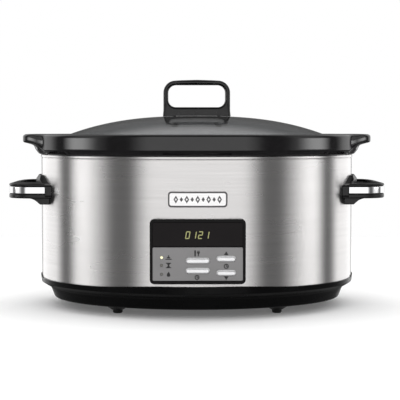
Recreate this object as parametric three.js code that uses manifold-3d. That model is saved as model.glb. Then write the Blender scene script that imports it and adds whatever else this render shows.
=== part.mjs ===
// Oval digital slow cooker: a stoneware crock with a glass lid, hung in a heated steel-clad base.
// Millimetres, +Z up, front towards -Y. The origin is the centre of the footprint, on the
// surface that the feet stand on.
import * as THREE from 'three';
import { mergeVertices } from 'three/addons/utils/BufferGeometryUtils.js';
import Module from 'manifold-3d';

const wasm = await Module();
wasm.setup();

// ---------------------------------------------------------------- driving dimensions

const GAP = 0.3; // clearance between pieces that touch
const OVAL_STEPS = 48; // facets round each oval
const ROUND_STEPS = 12; // facets round small turned pieces
const ARC_STEPS = 3; // quality of rounded corners

// Steel wrap. Every oval has a half-length r along X and a half-width r - OVAL_INSET along Y.
const SHELL_HALF_LENGTH = 181;
const SHELL_HALF_WIDTH = 145;
const OVAL_INSET = SHELL_HALF_LENGTH - SHELL_HALF_WIDTH;
const OVAL_BLEND = 100; // below this half-length, ovals shrink evenly towards the axis
const SHELL_WALL = 1;
const SHELL_BOTTOM = 29.4;
const SHELL_TOP = 175.2;
const BEAD_HEIGHT = 3.2; // rolled top edge
const BEAD_STANDOUT = 0.6;

// Plastic base, standing on four feet.
const LIP_HALF_LENGTH = 182.5;
const LIP_TOP = 36.4;
const LIP_BOTTOM = 26.6;
const LIP_WALL = 1.15;
const BASE_BOTTOM = 8.5;
const BASE_WALL = 2.6;
const BASE_HALF_LENGTH = 166.5;
const PLATE_HALF_LENGTH = 118; // service plate in the base
const PLATE_WALL = 2.2;
const LEDGE_WIDTH = 10; // ledge that the service plate is screwed to
const FOOT_X = 88.5;
const FOOT_Y = 85;
const FOOT_BOSS_TOP_RADIUS = 17.5;
const FOOT_BOSS_TIP_RADIUS = 6.6;
const FOOT_HEIGHT = 4;
const FOOT_RADIUS = 5.4;
const FOOT_SHANK_RADIUS = 2.5;
const BASE_SCREW_X = 70;
const BASE_SCREW_Y = 60;
const BASE_SCREW_HOLE_RADIUS = 2.2;
const BASE_SCREW_HOLE_TOP = 20;
const POWER_BOARD_WIDTH = 96;
const POWER_BOARD_DEPTH = 62;
const POWER_BOARD_Z = 20;
const BOARD_POST_INSET = 6;

// Heating well, the metal tub that the crock hangs in.
const WELL_WALL = 1;
const WELL_FLOOR = 43;
const WELL_CORNER_Z = 62;
const WELL_CORNER_HALF_LENGTH = 162.5;
const WELL_TOP_HALF_LENGTH = 170.5;
const WELL_FLANGE_Z = 173.2;
const BAND_BOTTOM = 64;
const BAND_TOP = 98;
const BAND_THICKNESS = 2;

// Stoneware crock.
const RIM_TOP = 198.4;
const RIM_HALF_LENGTH = 188;
const RIM_UNDERSIDE = 175.6;
const CROCK_FLOOR_OUTSIDE = 48;
const CROCK_FLOOR_INSIDE = 56;
const LID_SEAT_Z = 188.2;
const LID_RECESS_HALF_LENGTH = 165.2;
const EAR_TIP = 200;
const EAR_ROOT_HALF_WIDTH = 60;
const EAR_TIP_HALF_WIDTH = 36;

// Glass lid with its loop handle.
const LID_HALF_LENGTH = 162.6;
const LID_HALF_WIDTH = 126.6;
const LID_RISE = 21; // height of the dome above the crock's rim
const LID_RIM_CROSSING = 148; // half-length at which the dome passes the height of the rim
const LID_CURVE = 2.6;
const GLASS_THICKNESS = 4.2;
const LID_HANDLE_HALF_LENGTH = 39;
const LID_HANDLE_TOP = 261;
const LID_HANDLE_DEPTH = 22;
const LID_WINDOW_BOTTOM = 229;
const LID_WINDOW_TOP = 254.9;
const LID_SCREW_X = 26;
const LID_WASHER_RADIUS = 5.4;

// Side grips. These are drawn for the right-hand end; the left one is the same piece turned round.
const GRIP_TIP = 215;
const GRIP_HALF_WIDTH = 61;
const GRIP_CORNER = 28;
const GRIP_ROOT = 150;
const GRIP_BOTTOM = 126;
const GRIP_LOWER_LIP = 4.8;
const GRIP_CORE_TOP = 139.2;
const GRIP_CAP_TOP = 144;
const GRIP_TRIM_THICKNESS = 1.5;
const GRIP_HOLE_OUTER = 203;
const GRIP_HOLE_HALF_WIDTH = 44;
const GRIP_PLATE_THICKNESS = 6;
const GRIP_PLATE_BOTTOM = 118.4;
const GRIP_PLATE_TOP = 151.4;
const GRIP_SCREW_Z = 133;
const GRIP_SCREW_TURN = THREE.MathUtils.degToRad(21); // place of each screw round the oval
const SHELL_BAND = [90, 170]; // heights between which a grip meets the wrap

// Control panel, centred on the front.
const BEZEL_WIDTH = 102;
const BEZEL_BOTTOM = 39.7;
const BEZEL_TOP = 109;
const BEZEL_FRONT = -150;
const BEZEL_BACK = -137.5;
const FACE_WIDTH = 95.8;
const FACE_FRONT = -149.8;
const FACE_THICKNESS = 2;
const FASCIA_BOTTOM = 43.5;
const FASCIA_TOP = 79;
const WINDOW_BOTTOM = 80;
const WINDOW_TOP = 105.4;
const BEZEL_OPENING_WIDTH = 84;
const BEZEL_OPENING_BOTTOM = 47;
const BEZEL_OPENING_TOP = 102;
const SKIRT_WALL = 1.6;
const BOARD_THICKNESS = 1.6;
const BUTTON_FRONT = -151;
const BUTTON_HEIGHT = 3.8;
const BUTTON_TRAVEL = 0.8;
const BUTTON_MARGIN = 0.8; // dark gap round each button in the fascia
const SWITCH_SIZE = 6;
const SWITCH_DEPTH = 3.6;
const SWITCH_PLUNGER = 0.9;
const LED_RADIUS = 1.3;
const LED_X = -38.4;

const BUTTONS = [
  { name: 'mode_button', x: 0, z: 64.4, width: 23.6 },
  { name: 'timer_button', x: 0, z: 53.7, width: 23.6 },
  { name: 'time_up_button', x: 30.2, z: 66.4, width: 18.8 },
  { name: 'time_down_button', x: 30.2, z: 51.4, width: 18.8 },
];
const LEDS = [
  { name: 'high_led', z: 68.1 },
  { name: 'low_led', z: 59.9 },
  { name: 'warm_led', z: 50.4 },
];

// Badge plate on the front, and the cable gland at the back.
const BADGE_WIDTH = 63.3;
const BADGE_BOTTOM = 121.3;
const BADGE_TOP = 138;
const BADGE_THICKNESS = 1.5;
const GLAND_Z = 52;
const GLAND_RADIUS = 6.7;
const GLAND_FLANGE_RADIUS = 9.5;
const GLAND_BORE_RADIUS = 4;

// Cutters for the front of the wrap reach from clear in front of it to well behind its wall.
const FRONT_REACH = -160;
const FRONT_DEPTH = -120;

// ---------------------------------------------------------------- materials

const finish = (color, roughness, metalness) =>
  new THREE.MeshStandardMaterial({ color, roughness, metalness });

const BRUSHED_STEEL = finish(0xc8c5c3, 0.32, 1);
const CHROME = finish(0xe6e7e8, 0.12, 1);
const BLACK_PLASTIC = finish(0x161617, 0.38, 0);
const BLACK_GLAZE = finish(0x0d0c0d, 0.08, 0);
const GLASS = new THREE.MeshStandardMaterial({
  color: 0xdfe3e6, roughness: 0.03, metalness: 0, transparent: true, opacity: 0.35,
});
const RUBBER = finish(0x1c1c1c, 0.85, 0);
const COATED_STEEL = finish(0x4a4b4d, 0.5, 0.8);
const ZINC_STEEL = finish(0xa9acae, 0.35, 1);
const BLACK_STEEL = finish(0x1b1b1c, 0.45, 0.8);
const FOIL = finish(0xb9b6ae, 0.4, 0.9);
const FASCIA_GREY = finish(0x828081, 0.45, 0.3);
const SMOKED_WINDOW = finish(0x211e1f, 0.15, 0);
const SILVER_PLASTIC = finish(0xe9e9ea, 0.3, 0.4);
const BADGE_WHITE = finish(0xf3f1f1, 0.3, 0.1);
const BOARD_GREEN = finish(0x1d5a35, 0.5, 0.05);
const SWITCH_BLACK = finish(0x222224, 0.5, 0);
const RELAY_BLUE = finish(0x21457a, 0.45, 0);
const RIBBON_GREY = finish(0x9a9a9c, 0.6, 0);
const LED_LENS = finish(0xd9d6a0, 0.2, 0);

// ---------------------------------------------------------------- solids

// A mesh with its shared corners merged and its collapsed triangles dropped.
function weld(geometry) {
  const bare = geometry.clone();
  bare.deleteAttribute('normal');
  bare.deleteAttribute('uv');
  const merged = mergeVertices(bare, 1e-4);
  const corners = merged.index.array;
  const kept = [];
  for (let i = 0; i < corners.length; i += 3) {
    const [a, b, c] = corners.slice(i, i + 3);
    if (a !== b && b !== c && c !== a) kept.push(a, b, c);
  }
  merged.setIndex(kept);
  return merged;
}

function toSolid(geometry) {
  const mesh = weld(geometry);
  const vertProperties = new Float32Array(mesh.attributes.position.array);
  const triVerts = new Uint32Array(mesh.index.array);
  return new wasm.Manifold(new wasm.Mesh({ numProp: 3, vertProperties, triVerts }));
}

function toGeometry(solid) {
  const mesh = solid.getMesh();
  const geometry = new THREE.BufferGeometry();
  geometry.setAttribute('position', new THREE.BufferAttribute(mesh.vertProperties, 3));
  geometry.setIndex(new THREE.BufferAttribute(mesh.triVerts, 1));
  return geometry;
}

const combine = (method) => (first, ...others) =>
  toGeometry(others.map(toSolid).reduce((solid, next) => solid[method](next), toSolid(first)));
const join = combine('add');
const cut = combine('subtract');
const common = combine('intersect');

// A closed outline drawn as [radius, height] points, in anticlockwise order.
function lathe(profile, steps) {
  const points = profile.map(([r, z]) => new THREE.Vector2(r, z));
  const touchesAxis = profile[0][0] === 0;
  if (!touchesAxis) points.push(points[0].clone());
  return new THREE.LatheGeometry(points, steps).rotateX(Math.PI / 2);
}

// Half-width of the oval whose half-length is r; walls keep their thickness all the way round.
function ovalHalfWidth(r) {
  const centreRatio = (OVAL_BLEND - OVAL_INSET) / OVAL_BLEND;
  return r > OVAL_BLEND ? r - OVAL_INSET : r * centreRatio;
}

function ovalLathe(profile, halfWidth = ovalHalfWidth) {
  const geometry = lathe(profile, OVAL_STEPS);
  const place = geometry.attributes.position;
  for (let i = 0; i < place.count; i += 1) {
    const r = Math.hypot(place.getX(i), place.getY(i));
    if (r > 0) place.setY(i, (place.getY(i) * halfWidth(r)) / r);
  }
  return geometry;
}

const ovalBlock = (r, bottom, top) => ovalLathe([[0, bottom], [r, bottom], [r, top], [0, top]]);
const ovalRing = (inner, outer, bottom, top) =>
  ovalLathe([[inner, bottom], [outer, bottom], [outer, top], [inner, top]]);
const turned = (profile) => lathe(profile, ROUND_STEPS);

const extrude = (shape, depth) =>
  new THREE.ExtrudeGeometry(shape, { depth, bevelEnabled: false, curveSegments: ARC_STEPS });
// Drawn in plan (X, Y), raised from bottom to top.
const raise = (shape, bottom, top) => extrude(shape, top - bottom).translate(0, 0, bottom);
// Drawn as seen from the front (X, Z), reaching along Y.
const frontOn = (shape, front, back) =>
  extrude(shape, back - front).rotateX(Math.PI / 2).translate(0, back, 0);
// Drawn as seen from the right-hand end (Y, Z), reaching along X.
const endOn = (shape, left, right) =>
  extrude(shape, right - left).rotateX(Math.PI / 2).rotateZ(Math.PI / 2).translate(left, 0, 0);

function roundedRectangle(width, height, radius, centreX = 0, centreY = 0) {
  const shape = new THREE.Shape();
  const x = width / 2 - radius;
  const y = height / 2 - radius;
  const corners = [[x, y], [-x, y], [-x, -y], [x, -y]];
  corners.forEach(([dx, dy], i) => {
    shape.absarc(centreX + dx, centreY + dy, radius, (i * Math.PI) / 2, ((i + 1) * Math.PI) / 2);
  });
  return shape;
}

const polygon = (points) => new THREE.Shape(points.map(([x, y]) => new THREE.Vector2(x, y)));
const mirrored = (points) => [...points, ...points.map(([x, y]) => [-x, y]).reverse()];

// A bent strip of even thickness along an open line of points.
function strip(points, thickness) {
  const line = points.map(([x, y]) => new THREE.Vector2(x, y));
  const side = (sign) => line.map((point, i) => {
    const before = point.clone().sub(line[Math.max(i - 1, 0)]);
    const after = line[Math.min(i + 1, line.length - 1)].clone().sub(point);
    const [first, second] = [before, after].map((v) => (v.length() ? v : before.clone().add(after)));
    const a = new THREE.Vector2(-first.y, first.x).normalize();
    const b = new THREE.Vector2(-second.y, second.x).normalize();
    const mitre = a.clone().add(b).normalize();
    return point.clone().addScaledVector(mitre, (sign * thickness) / 2 / mitre.dot(a));
  });
  return new THREE.Shape([...side(1), ...side(-1).reverse()]);
}

const box = (width, depth, height, x, y, z) =>
  new THREE.BoxGeometry(width, depth, height).translate(x, y, z);
const upright = (radius, bottom, top, x = 0, y = 0) =>
  new THREE.CylinderGeometry(radius, radius, top - bottom, ROUND_STEPS)
    .rotateX(Math.PI / 2).translate(x, y, (top + bottom) / 2);
const frontRod = (radius, front, back, x, z) =>
  new THREE.CylinderGeometry(radius, radius, back - front, ROUND_STEPS)
    .translate(x, (front + back) / 2, z);

// A screw that stands on its head, with its shank up.
function screw(headRadius, headHeight, shankRadius, length) {
  return turned([
    [0, 0], [headRadius * 0.7, 0], [headRadius, headHeight * 0.55], [headRadius, headHeight],
    [shankRadius, headHeight], [shankRadius, length - shankRadius], [0, length],
  ]);
}

// The four corners (+-x, +-y), with a name for each.
const corners = (x, y) => [
  ['front_left', -x, -y], ['front_right', x, -y], ['rear_left', -x, y], ['rear_right', x, y],
];

// ---------------------------------------------------------------- assembly helpers

const cooker = new THREE.Group();
const baseUnit = new THREE.Group();
const lid = new THREE.Group();
cooker.add(baseUnit, lid);

function addPart(group, name, geometry, material) {
  const mesh = new THREE.Mesh(weld(geometry), material);
  mesh.name = name;
  group.add(mesh);
  return mesh;
}

// A point on the outside of the steel wrap, and the way that the wrap faces there.
function onShell(turn) {
  const x = SHELL_HALF_LENGTH * Math.cos(turn);
  const y = SHELL_HALF_WIDTH * Math.sin(turn);
  const facing = Math.atan2(y / SHELL_HALF_WIDTH ** 2, x / SHELL_HALF_LENGTH ** 2);
  return { x, y, facing };
}

const GRIP_SCREW_PLACES = [
  ['right_front', -GRIP_SCREW_TURN], ['right_rear', GRIP_SCREW_TURN],
  ['left_rear', Math.PI - GRIP_SCREW_TURN], ['left_front', Math.PI + GRIP_SCREW_TURN],
];

// A rod square to the shell at a grip screw, from `inside` to `outside` of its surface.
function gripScrewHole(turn, radius, inside, outside) {
  const { x, y, facing } = onShell(turn);
  return new THREE.CylinderGeometry(radius, radius, outside - inside, ROUND_STEPS)
    .rotateZ(Math.PI / 2).translate((outside + inside) / 2, 0, 0)
    .rotateZ(facing).translate(x, y, GRIP_SCREW_Z);
}

// ---------------------------------------------------------------- base unit

function outerShell() {
  const outside = SHELL_HALF_LENGTH;
  const inside = outside - SHELL_WALL;
  const beadBottom = SHELL_TOP - BEAD_HEIGHT;
  const wrap = ovalLathe([
    [outside, SHELL_BOTTOM], [outside, beadBottom], [outside + BEAD_STANDOUT, beadBottom + 0.7],
    [outside + BEAD_STANDOUT, SHELL_TOP - 0.9], [outside - 0.3, SHELL_TOP], [inside - 0.4, SHELL_TOP],
    [inside, SHELL_TOP - 0.8], [inside, SHELL_BOTTOM],
  ]);
  const width = BEZEL_OPENING_WIDTH + 2 * SKIRT_WALL + 0.8;
  const height = BEZEL_OPENING_TOP - BEZEL_OPENING_BOTTOM + 2 * SKIRT_WALL + 0.8;
  const middle = (BEZEL_OPENING_TOP + BEZEL_OPENING_BOTTOM) / 2;
  const opening = roundedRectangle(width, height, 4, 0, middle);
  const panelOpening = frontOn(opening, FRONT_REACH, FRONT_DEPTH);
  const glandHole = frontRod(GLAND_RADIUS + GAP, 120, 160, 0, GLAND_Z);
  const screwHoles = GRIP_SCREW_PLACES.map(([, turn]) => gripScrewHole(turn, 2.3, -6, 6));
  return cut(wrap, panelOpening, glandHole, ...screwHoles);
}

const baseScrewHoles = () => corners(BASE_SCREW_X, BASE_SCREW_Y)
  .map(([, x, y]) => upright(BASE_SCREW_HOLE_RADIUS, 0, BASE_SCREW_HOLE_TOP, x, y));

function baseHousing() {
  const ledgeOuter = PLATE_HALF_LENGTH + GAP;
  const ledgeInner = PLATE_HALF_LENGTH - LEDGE_WIDTH;
  const ledgeUnderside = BASE_BOTTOM + PLATE_WALL + 0.5;
  const lipInside = LIP_HALF_LENGTH - LIP_WALL;
  const tub = ovalLathe([
    [ledgeOuter, BASE_BOTTOM], [BASE_HALF_LENGTH - 3.5, BASE_BOTTOM], [BASE_HALF_LENGTH, BASE_BOTTOM + 2],
    [169.4, 16.4], [171.7, 20.5], [176.4, 23.5], [LIP_HALF_LENGTH - 0.6, LIP_BOTTOM - 0.6],
    [LIP_HALF_LENGTH, LIP_BOTTOM], [LIP_HALF_LENGTH, LIP_TOP], [lipInside, LIP_TOP],
    [lipInside, SHELL_BOTTOM - GAP], [178.2, SHELL_BOTTOM - GAP], [175, 26], [169.4, 22.2],
    [166.8, 17.4], [163.6, BASE_BOTTOM + BASE_WALL], [ledgeOuter + 3, BASE_BOTTOM + BASE_WALL],
    [ledgeOuter, ledgeUnderside + BASE_WALL], [ledgeInner, ledgeUnderside + BASE_WALL],
    [ledgeInner, ledgeUnderside], [ledgeOuter, ledgeUnderside],
  ]);
  const bossProfile = [
    [0, FOOT_HEIGHT], [FOOT_BOSS_TIP_RADIUS, FOOT_HEIGHT], [FOOT_BOSS_TOP_RADIUS, BASE_BOTTOM + 1],
    [0, BASE_BOTTOM + 1],
  ];
  const bosses = corners(FOOT_X, FOOT_Y).map(([, x, y]) => turned(bossProfile).translate(x, y, 0));
  const footHoles = corners(FOOT_X, FOOT_Y)
    .map(([, x, y]) => upright(FOOT_SHANK_RADIUS + GAP, 0, BASE_SCREW_HOLE_TOP, x, y));
  return cut(join(tub, ...bosses), ...footHoles, ...baseScrewHoles());
}

function foot() {
  const padTop = FOOT_HEIGHT - GAP;
  const shankTop = 12.5;
  return turned([
    [0, 0], [FOOT_RADIUS - 0.7, 0], [FOOT_RADIUS, 0.8], [FOOT_RADIUS, padTop],
    [FOOT_SHANK_RADIUS, padTop], [FOOT_SHANK_RADIUS, shankTop], [0, shankTop],
  ]);
}

function bottomPlate() {
  const bottom = BASE_BOTTOM + 0.2;
  const plate = ovalBlock(PLATE_HALF_LENGTH, bottom, bottom + PLATE_WALL);
  const postX = POWER_BOARD_WIDTH / 2 - BOARD_POST_INSET;
  const postY = POWER_BOARD_DEPTH / 2 - BOARD_POST_INSET;
  const posts = corners(postX, postY).map(([, x, y]) => upright(3, bottom, POWER_BOARD_Z - GAP, x, y));
  return cut(join(plate, ...posts), ...baseScrewHoles());
}

// Half-length of the outside of the well's tapering wall at height z.
function wellWall(z) {
  const lean = (WELL_TOP_HALF_LENGTH - WELL_CORNER_HALF_LENGTH) / (WELL_FLANGE_Z - WELL_CORNER_Z);
  return WELL_CORNER_HALF_LENGTH + (z - WELL_CORNER_Z) * lean;
}

function heatingWell() {
  const outside = [
    [0, WELL_FLOOR], [143, WELL_FLOOR], [153.5, 45.8], [160, 52], [WELL_CORNER_HALF_LENGTH, WELL_CORNER_Z],
    [WELL_TOP_HALF_LENGTH, WELL_FLANGE_Z],
  ];
  const flangeEdge = SHELL_HALF_LENGTH - SHELL_WALL - 0.6;
  const flangeTop = WELL_FLANGE_Z + WELL_WALL;
  const inside = outside.map(([r, z]) => [Math.max(r - WELL_WALL, 0), z + WELL_WALL]).reverse();
  return ovalLathe([...outside, [flangeEdge, WELL_FLANGE_Z], [flangeEdge, flangeTop], ...inside]);
}

function heaterBand() {
  const clear = 0.35;
  const lower = wellWall(BAND_BOTTOM) + clear;
  const upper = wellWall(BAND_TOP) + clear;
  return ovalLathe([
    [lower, BAND_BOTTOM], [lower + BAND_THICKNESS, BAND_BOTTOM],
    [upper + BAND_THICKNESS, BAND_TOP], [upper, BAND_TOP],
  ]);
}

// Steel bridge under the well; its feet are screwed to the base.
function tieBridge() {
  const thickness = 1.2;
  const footZ = BASE_BOTTOM + PLATE_WALL + 0.5 + BASE_WALL + GAP + thickness / 2;
  const barZ = WELL_FLOOR - GAP - thickness / 2;
  const bridge = endOn(strip(mirrored([[69, footZ], [51, footZ], [47, barZ]]), thickness), -8, 8);
  const holes = [-BASE_SCREW_Y, BASE_SCREW_Y]
    .map((y) => upright(BASE_SCREW_HOLE_RADIUS, 0, BASE_SCREW_HOLE_TOP, 0, y));
  return cut(bridge, ...holes);
}

function temperatureSensor() {
  const top = WELL_FLOOR - GAP;
  return turned([[0, top - 8], [3, top - 8], [3, top - 4], [8, top - 3], [8, top], [0, top]]);
}

function thermalFuse() {
  const body = turned([
    [0, -14], [0.6, -14], [0.6, -6.5], [1.9, -6], [1.9, 6], [0.6, 6.5], [0.6, 14], [0, 14],
  ]);
  return body.rotateY(Math.PI / 2).translate(30, 24, WELL_FLOOR - 2.4);
}

function cordGland() {
  const length = 10;
  const flange = 3.4;
  const standout = flange + 0.5;
  const ring = turned([
    [GLAND_BORE_RADIUS, 0], [GLAND_FLANGE_RADIUS - 1, 0], [GLAND_FLANGE_RADIUS, 1],
    [GLAND_FLANGE_RADIUS, flange], [GLAND_RADIUS, flange], [GLAND_RADIUS, length],
    [GLAND_BORE_RADIUS, length],
  ]);
  return ring.rotateX(Math.PI / 2).translate(0, SHELL_HALF_WIDTH + standout, GLAND_Z);
}

// Flat cable from the power board, forwards under the well and up to the control board.
function ribbonCable() {
  const behindBoard = BEZEL_BACK + BOARD_THICKNESS + 2 * GAP + 0.5;
  const route = [
    [-POWER_BOARD_DEPTH / 2 + 4, POWER_BOARD_Z + 2.6], [-108, POWER_BOARD_Z + 2.6], [-124, 26],
    [-132, 34], [behindBoard, 45], [behindBoard, 56],
  ];
  return endOn(strip(route, 1), -10, 10);
}

function addBaseUnit() {
  addPart(baseUnit, 'outer_shell', outerShell(), BRUSHED_STEEL);
  addPart(baseUnit, 'base_housing', baseHousing(), BLACK_PLASTIC);
  addPart(baseUnit, 'bottom_plate', bottomPlate(), COATED_STEEL);
  addPart(baseUnit, 'heating_well', heatingWell(), COATED_STEEL);
  addPart(baseUnit, 'heater_band', heaterBand(), FOIL);
  addPart(baseUnit, 'temperature_sensor', temperatureSensor(), ZINC_STEEL);
  addPart(baseUnit, 'thermal_fuse', thermalFuse(), ZINC_STEEL);
  addPart(baseUnit, 'cord_gland', cordGland(), BLACK_PLASTIC);
  addPart(baseUnit, 'ribbon_cable', ribbonCable(), RIBBON_GREY);
  for (const [side, x] of [['left', -BASE_SCREW_X], ['right', BASE_SCREW_X]]) {
    addPart(baseUnit, `tie_bridge_${side}`, tieBridge(), ZINC_STEEL).position.x = x;
  }
  for (const [corner, x, y] of corners(BASE_SCREW_X, BASE_SCREW_Y)) {
    const headHeight = 2.2;
    const fixing = addPart(baseUnit, `base_screw_${corner}`, screw(3.8, headHeight, 1.9, 12), ZINC_STEEL);
    fixing.position.set(x, y, BASE_BOTTOM + 0.2 - GAP - headHeight);
  }
  for (const [corner, x, y] of corners(FOOT_X, FOOT_Y)) {
    addPart(baseUnit, `foot_${corner}`, foot(), RUBBER).position.set(x, y, 0);
  }
  const board = roundedRectangle(POWER_BOARD_WIDTH, POWER_BOARD_DEPTH, 3);
  const boardTop = POWER_BOARD_Z + BOARD_THICKNESS;
  addPart(baseUnit, 'power_board', raise(board, POWER_BOARD_Z, boardTop), BOARD_GREEN);
  const relay = roundedRectangle(20, 16, 1, -26, 12);
  const relayHeight = 15;
  const relayBottom = boardTop + GAP;
  addPart(baseUnit, 'power_relay', raise(relay, relayBottom, relayBottom + relayHeight), RELAY_BLUE);
}

// ---------------------------------------------------------------- control panel

const faceCentre = (bottom, top) => (bottom + top) / 2;

function facePlate(bottom, top) {
  const shape = roundedRectangle(FACE_WIDTH, top - bottom, 2, 0, faceCentre(bottom, top));
  return frontOn(shape, FACE_FRONT, FACE_FRONT + FACE_THICKNESS);
}

function controlBezel() {
  const middle = faceCentre(BEZEL_BOTTOM, BEZEL_TOP);
  const frameShape = roundedRectangle(BEZEL_WIDTH, BEZEL_TOP - BEZEL_BOTTOM, 5, 0, middle);
  const frame = cut(
    frontOn(frameShape, BEZEL_FRONT, BEZEL_BACK), ovalBlock(SHELL_HALF_LENGTH + GAP, 20, 130),
  );
  const openingHeight = BEZEL_OPENING_TOP - BEZEL_OPENING_BOTTOM;
  const openingMiddle = faceCentre(BEZEL_OPENING_BOTTOM, BEZEL_OPENING_TOP);
  const skirtShape = roundedRectangle(
    BEZEL_OPENING_WIDTH + 2 * SKIRT_WALL, openingHeight + 2 * SKIRT_WALL, 3.6, 0, openingMiddle,
  );
  const hooks = [-12, 12].flatMap((x) => [
    box(12, 1.4, 2.6, x, -141.4, BEZEL_OPENING_TOP + SKIRT_WALL),
    box(12, 1.4, 2.6, x, -141.4, BEZEL_OPENING_BOTTOM - SKIRT_WALL),
  ]);
  const block = join(frame, frontOn(skirtShape, BEZEL_FRONT + 3, BEZEL_BACK), ...hooks);
  const pocketShape = roundedRectangle(
    FACE_WIDTH + 0.8, WINDOW_TOP - FASCIA_BOTTOM + 0.8, 2.4, 0, faceCentre(FASCIA_BOTTOM, WINDOW_TOP),
  );
  const pocket = frontOn(pocketShape, BEZEL_FRONT - 1, FACE_FRONT + FACE_THICKNESS + GAP);
  const openingShape = roundedRectangle(BEZEL_OPENING_WIDTH, openingHeight, 2, 0, openingMiddle);
  const opening = frontOn(openingShape, BEZEL_FRONT - 1, BEZEL_BACK + 1);
  const barFront = FACE_FRONT + FACE_THICKNESS + GAP;
  const barBack = -140;
  const bar = box(
    BEZEL_OPENING_WIDTH + 1, barBack - barFront, 3.2,
    0, (barBack + barFront) / 2, faceCentre(FASCIA_TOP, WINDOW_BOTTOM),
  );
  return join(cut(block, pocket, opening), bar);
}

function controlFascia() {
  const front = FACE_FRONT - 1;
  const back = FACE_FRONT + FACE_THICKNESS + 1;
  const height = BUTTON_HEIGHT + 2 * BUTTON_MARGIN;
  const slots = BUTTONS.map(({ x, z, width }) =>
    frontOn(roundedRectangle(width + 2 * BUTTON_MARGIN, height, height / 2 - 0.05, x, z), front, back));
  const ledHoles = LEDS.map(({ z }) => frontRod(LED_RADIUS + GAP, front, back, LED_X, z));
  return cut(facePlate(FASCIA_BOTTOM, FASCIA_TOP), ...slots, ...ledHoles);
}

const BUTTON_FLANGE_FRONT = FACE_FRONT + FACE_THICKNESS + GAP;
const SWITCH_BACK = BEZEL_BACK;
const SWITCH_FRONT = SWITCH_BACK - SWITCH_DEPTH;
const SWITCH_TIP = SWITCH_FRONT - SWITCH_PLUNGER;
const BUTTON_STEM_BACK = SWITCH_TIP - BUTTON_TRAVEL - 0.1;

// A pill-shaped cap, with a flange behind the fascia and a stem in front of its switch.
function button({ x, z, width }) {
  const cap = roundedRectangle(width, BUTTON_HEIGHT, BUTTON_HEIGHT / 2 - 0.05, x, z);
  const flange = roundedRectangle(width + 3.8, BUTTON_HEIGHT + 3.6, 1.5, x, z);
  return join(
    frontOn(cap, BUTTON_FRONT, BUTTON_FLANGE_FRONT + 0.5),
    frontOn(flange, BUTTON_FLANGE_FRONT, BUTTON_FLANGE_FRONT + 1.2),
    frontRod(2, BUTTON_FLANGE_FRONT + 0.5, BUTTON_STEM_BACK, x, z),
  );
}

function tactSwitch({ x, z }) {
  const body = box(SWITCH_SIZE, SWITCH_DEPTH, SWITCH_SIZE, x, (SWITCH_FRONT + SWITCH_BACK) / 2, z);
  return join(body, frontRod(1.6, SWITCH_TIP, SWITCH_FRONT + 0.5, x, z));
}

function led({ z }) {
  const length = SWITCH_BACK - FACE_FRONT;
  const lens = turned([
    [0, 0], [1.5, 0], [1.5, length - 4], [LED_RADIUS, length - 3.9], [LED_RADIUS, length - 0.3],
    [LED_RADIUS * 0.6, length + 0.3], [0, length + 0.5],
  ]);
  return lens.rotateX(Math.PI / 2).translate(LED_X, SWITCH_BACK, z);
}

function addControlPanel() {
  addPart(baseUnit, 'control_bezel', controlBezel(), BLACK_PLASTIC);
  addPart(baseUnit, 'display_window', facePlate(WINDOW_BOTTOM, WINDOW_TOP), SMOKED_WINDOW);
  addPart(baseUnit, 'control_fascia', controlFascia(), FASCIA_GREY);
  addPart(baseUnit, 'display_module', box(34, 7.2, 14, 0, SWITCH_BACK - 3.6, 91.7), SWITCH_BLACK);
  const boardFront = SWITCH_BACK + GAP;
  const board = roundedRectangle(91, 59, 3, 0, faceCentre(BEZEL_OPENING_BOTTOM, BEZEL_OPENING_TOP));
  addPart(baseUnit, 'control_board', frontOn(board, boardFront, boardFront + BOARD_THICKNESS), BOARD_GREEN);
  for (const key of BUTTONS) {
    addPart(baseUnit, key.name.replace('button', 'switch'), tactSwitch(key), SWITCH_BLACK);
    addPart(cooker, key.name, button(key), SILVER_PLASTIC);
  }
  for (const lamp of LEDS) addPart(baseUnit, lamp.name, led(lamp), LED_LENS);
}

function badgePlate() {
  const middle = faceCentre(BADGE_BOTTOM, BADGE_TOP);
  const shape = roundedRectangle(BADGE_WIDTH, BADGE_TOP - BADGE_BOTTOM, 3, 0, middle);
  const inner = SHELL_HALF_LENGTH + GAP;
  const skin = ovalRing(inner, inner + BADGE_THICKNESS, BADGE_BOTTOM - 5, BADGE_TOP + 5);
  return common(frontOn(shape, FRONT_REACH, FRONT_DEPTH), skin);
}

// ---------------------------------------------------------------- side grips

// Plan of a grip: two arms joined by a bar with round corners, drawn `inset` inside its edge.
function gripPlan(inset) {
  const tip = GRIP_TIP - inset;
  const half = GRIP_HALF_WIDTH - inset;
  const radius = GRIP_CORNER - inset;
  const shape = new THREE.Shape();
  shape.moveTo(GRIP_ROOT, -half);
  shape.absarc(tip - radius, radius - half, radius, -Math.PI / 2, 0);
  shape.absarc(tip - radius, half - radius, radius, 0, Math.PI / 2);
  shape.lineTo(GRIP_ROOT, half);
  return shape;
}

function fingerHole() {
  const inner = 160;
  const length = GRIP_HOLE_OUTER - inner;
  const shape = roundedRectangle(length, 2 * GRIP_HOLE_HALF_WIDTH, 12, inner + length / 2, 0);
  return raise(shape, GRIP_PLATE_BOTTOM - 5, GRIP_PLATE_TOP + 5);
}

const clearOfShell = (extra) => ovalBlock(SHELL_HALF_LENGTH + GAP + extra, ...SHELL_BAND);

// Escutcheon that lies on the steel wrap between the two arms.
function gripPlate() {
  const outline = polygon(mirrored([
    [36, GRIP_PLATE_TOP], [55, 142.5], [62, 140.5], [62, 127.5], [56, 126], [38, GRIP_PLATE_BOTTOM],
  ]));
  const inner = SHELL_HALF_LENGTH + GAP;
  const wall = ovalRing(inner, inner + GRIP_PLATE_THICKNESS, ...SHELL_BAND);
  return common(endOn(outline, 120, 210), wall);
}

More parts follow.
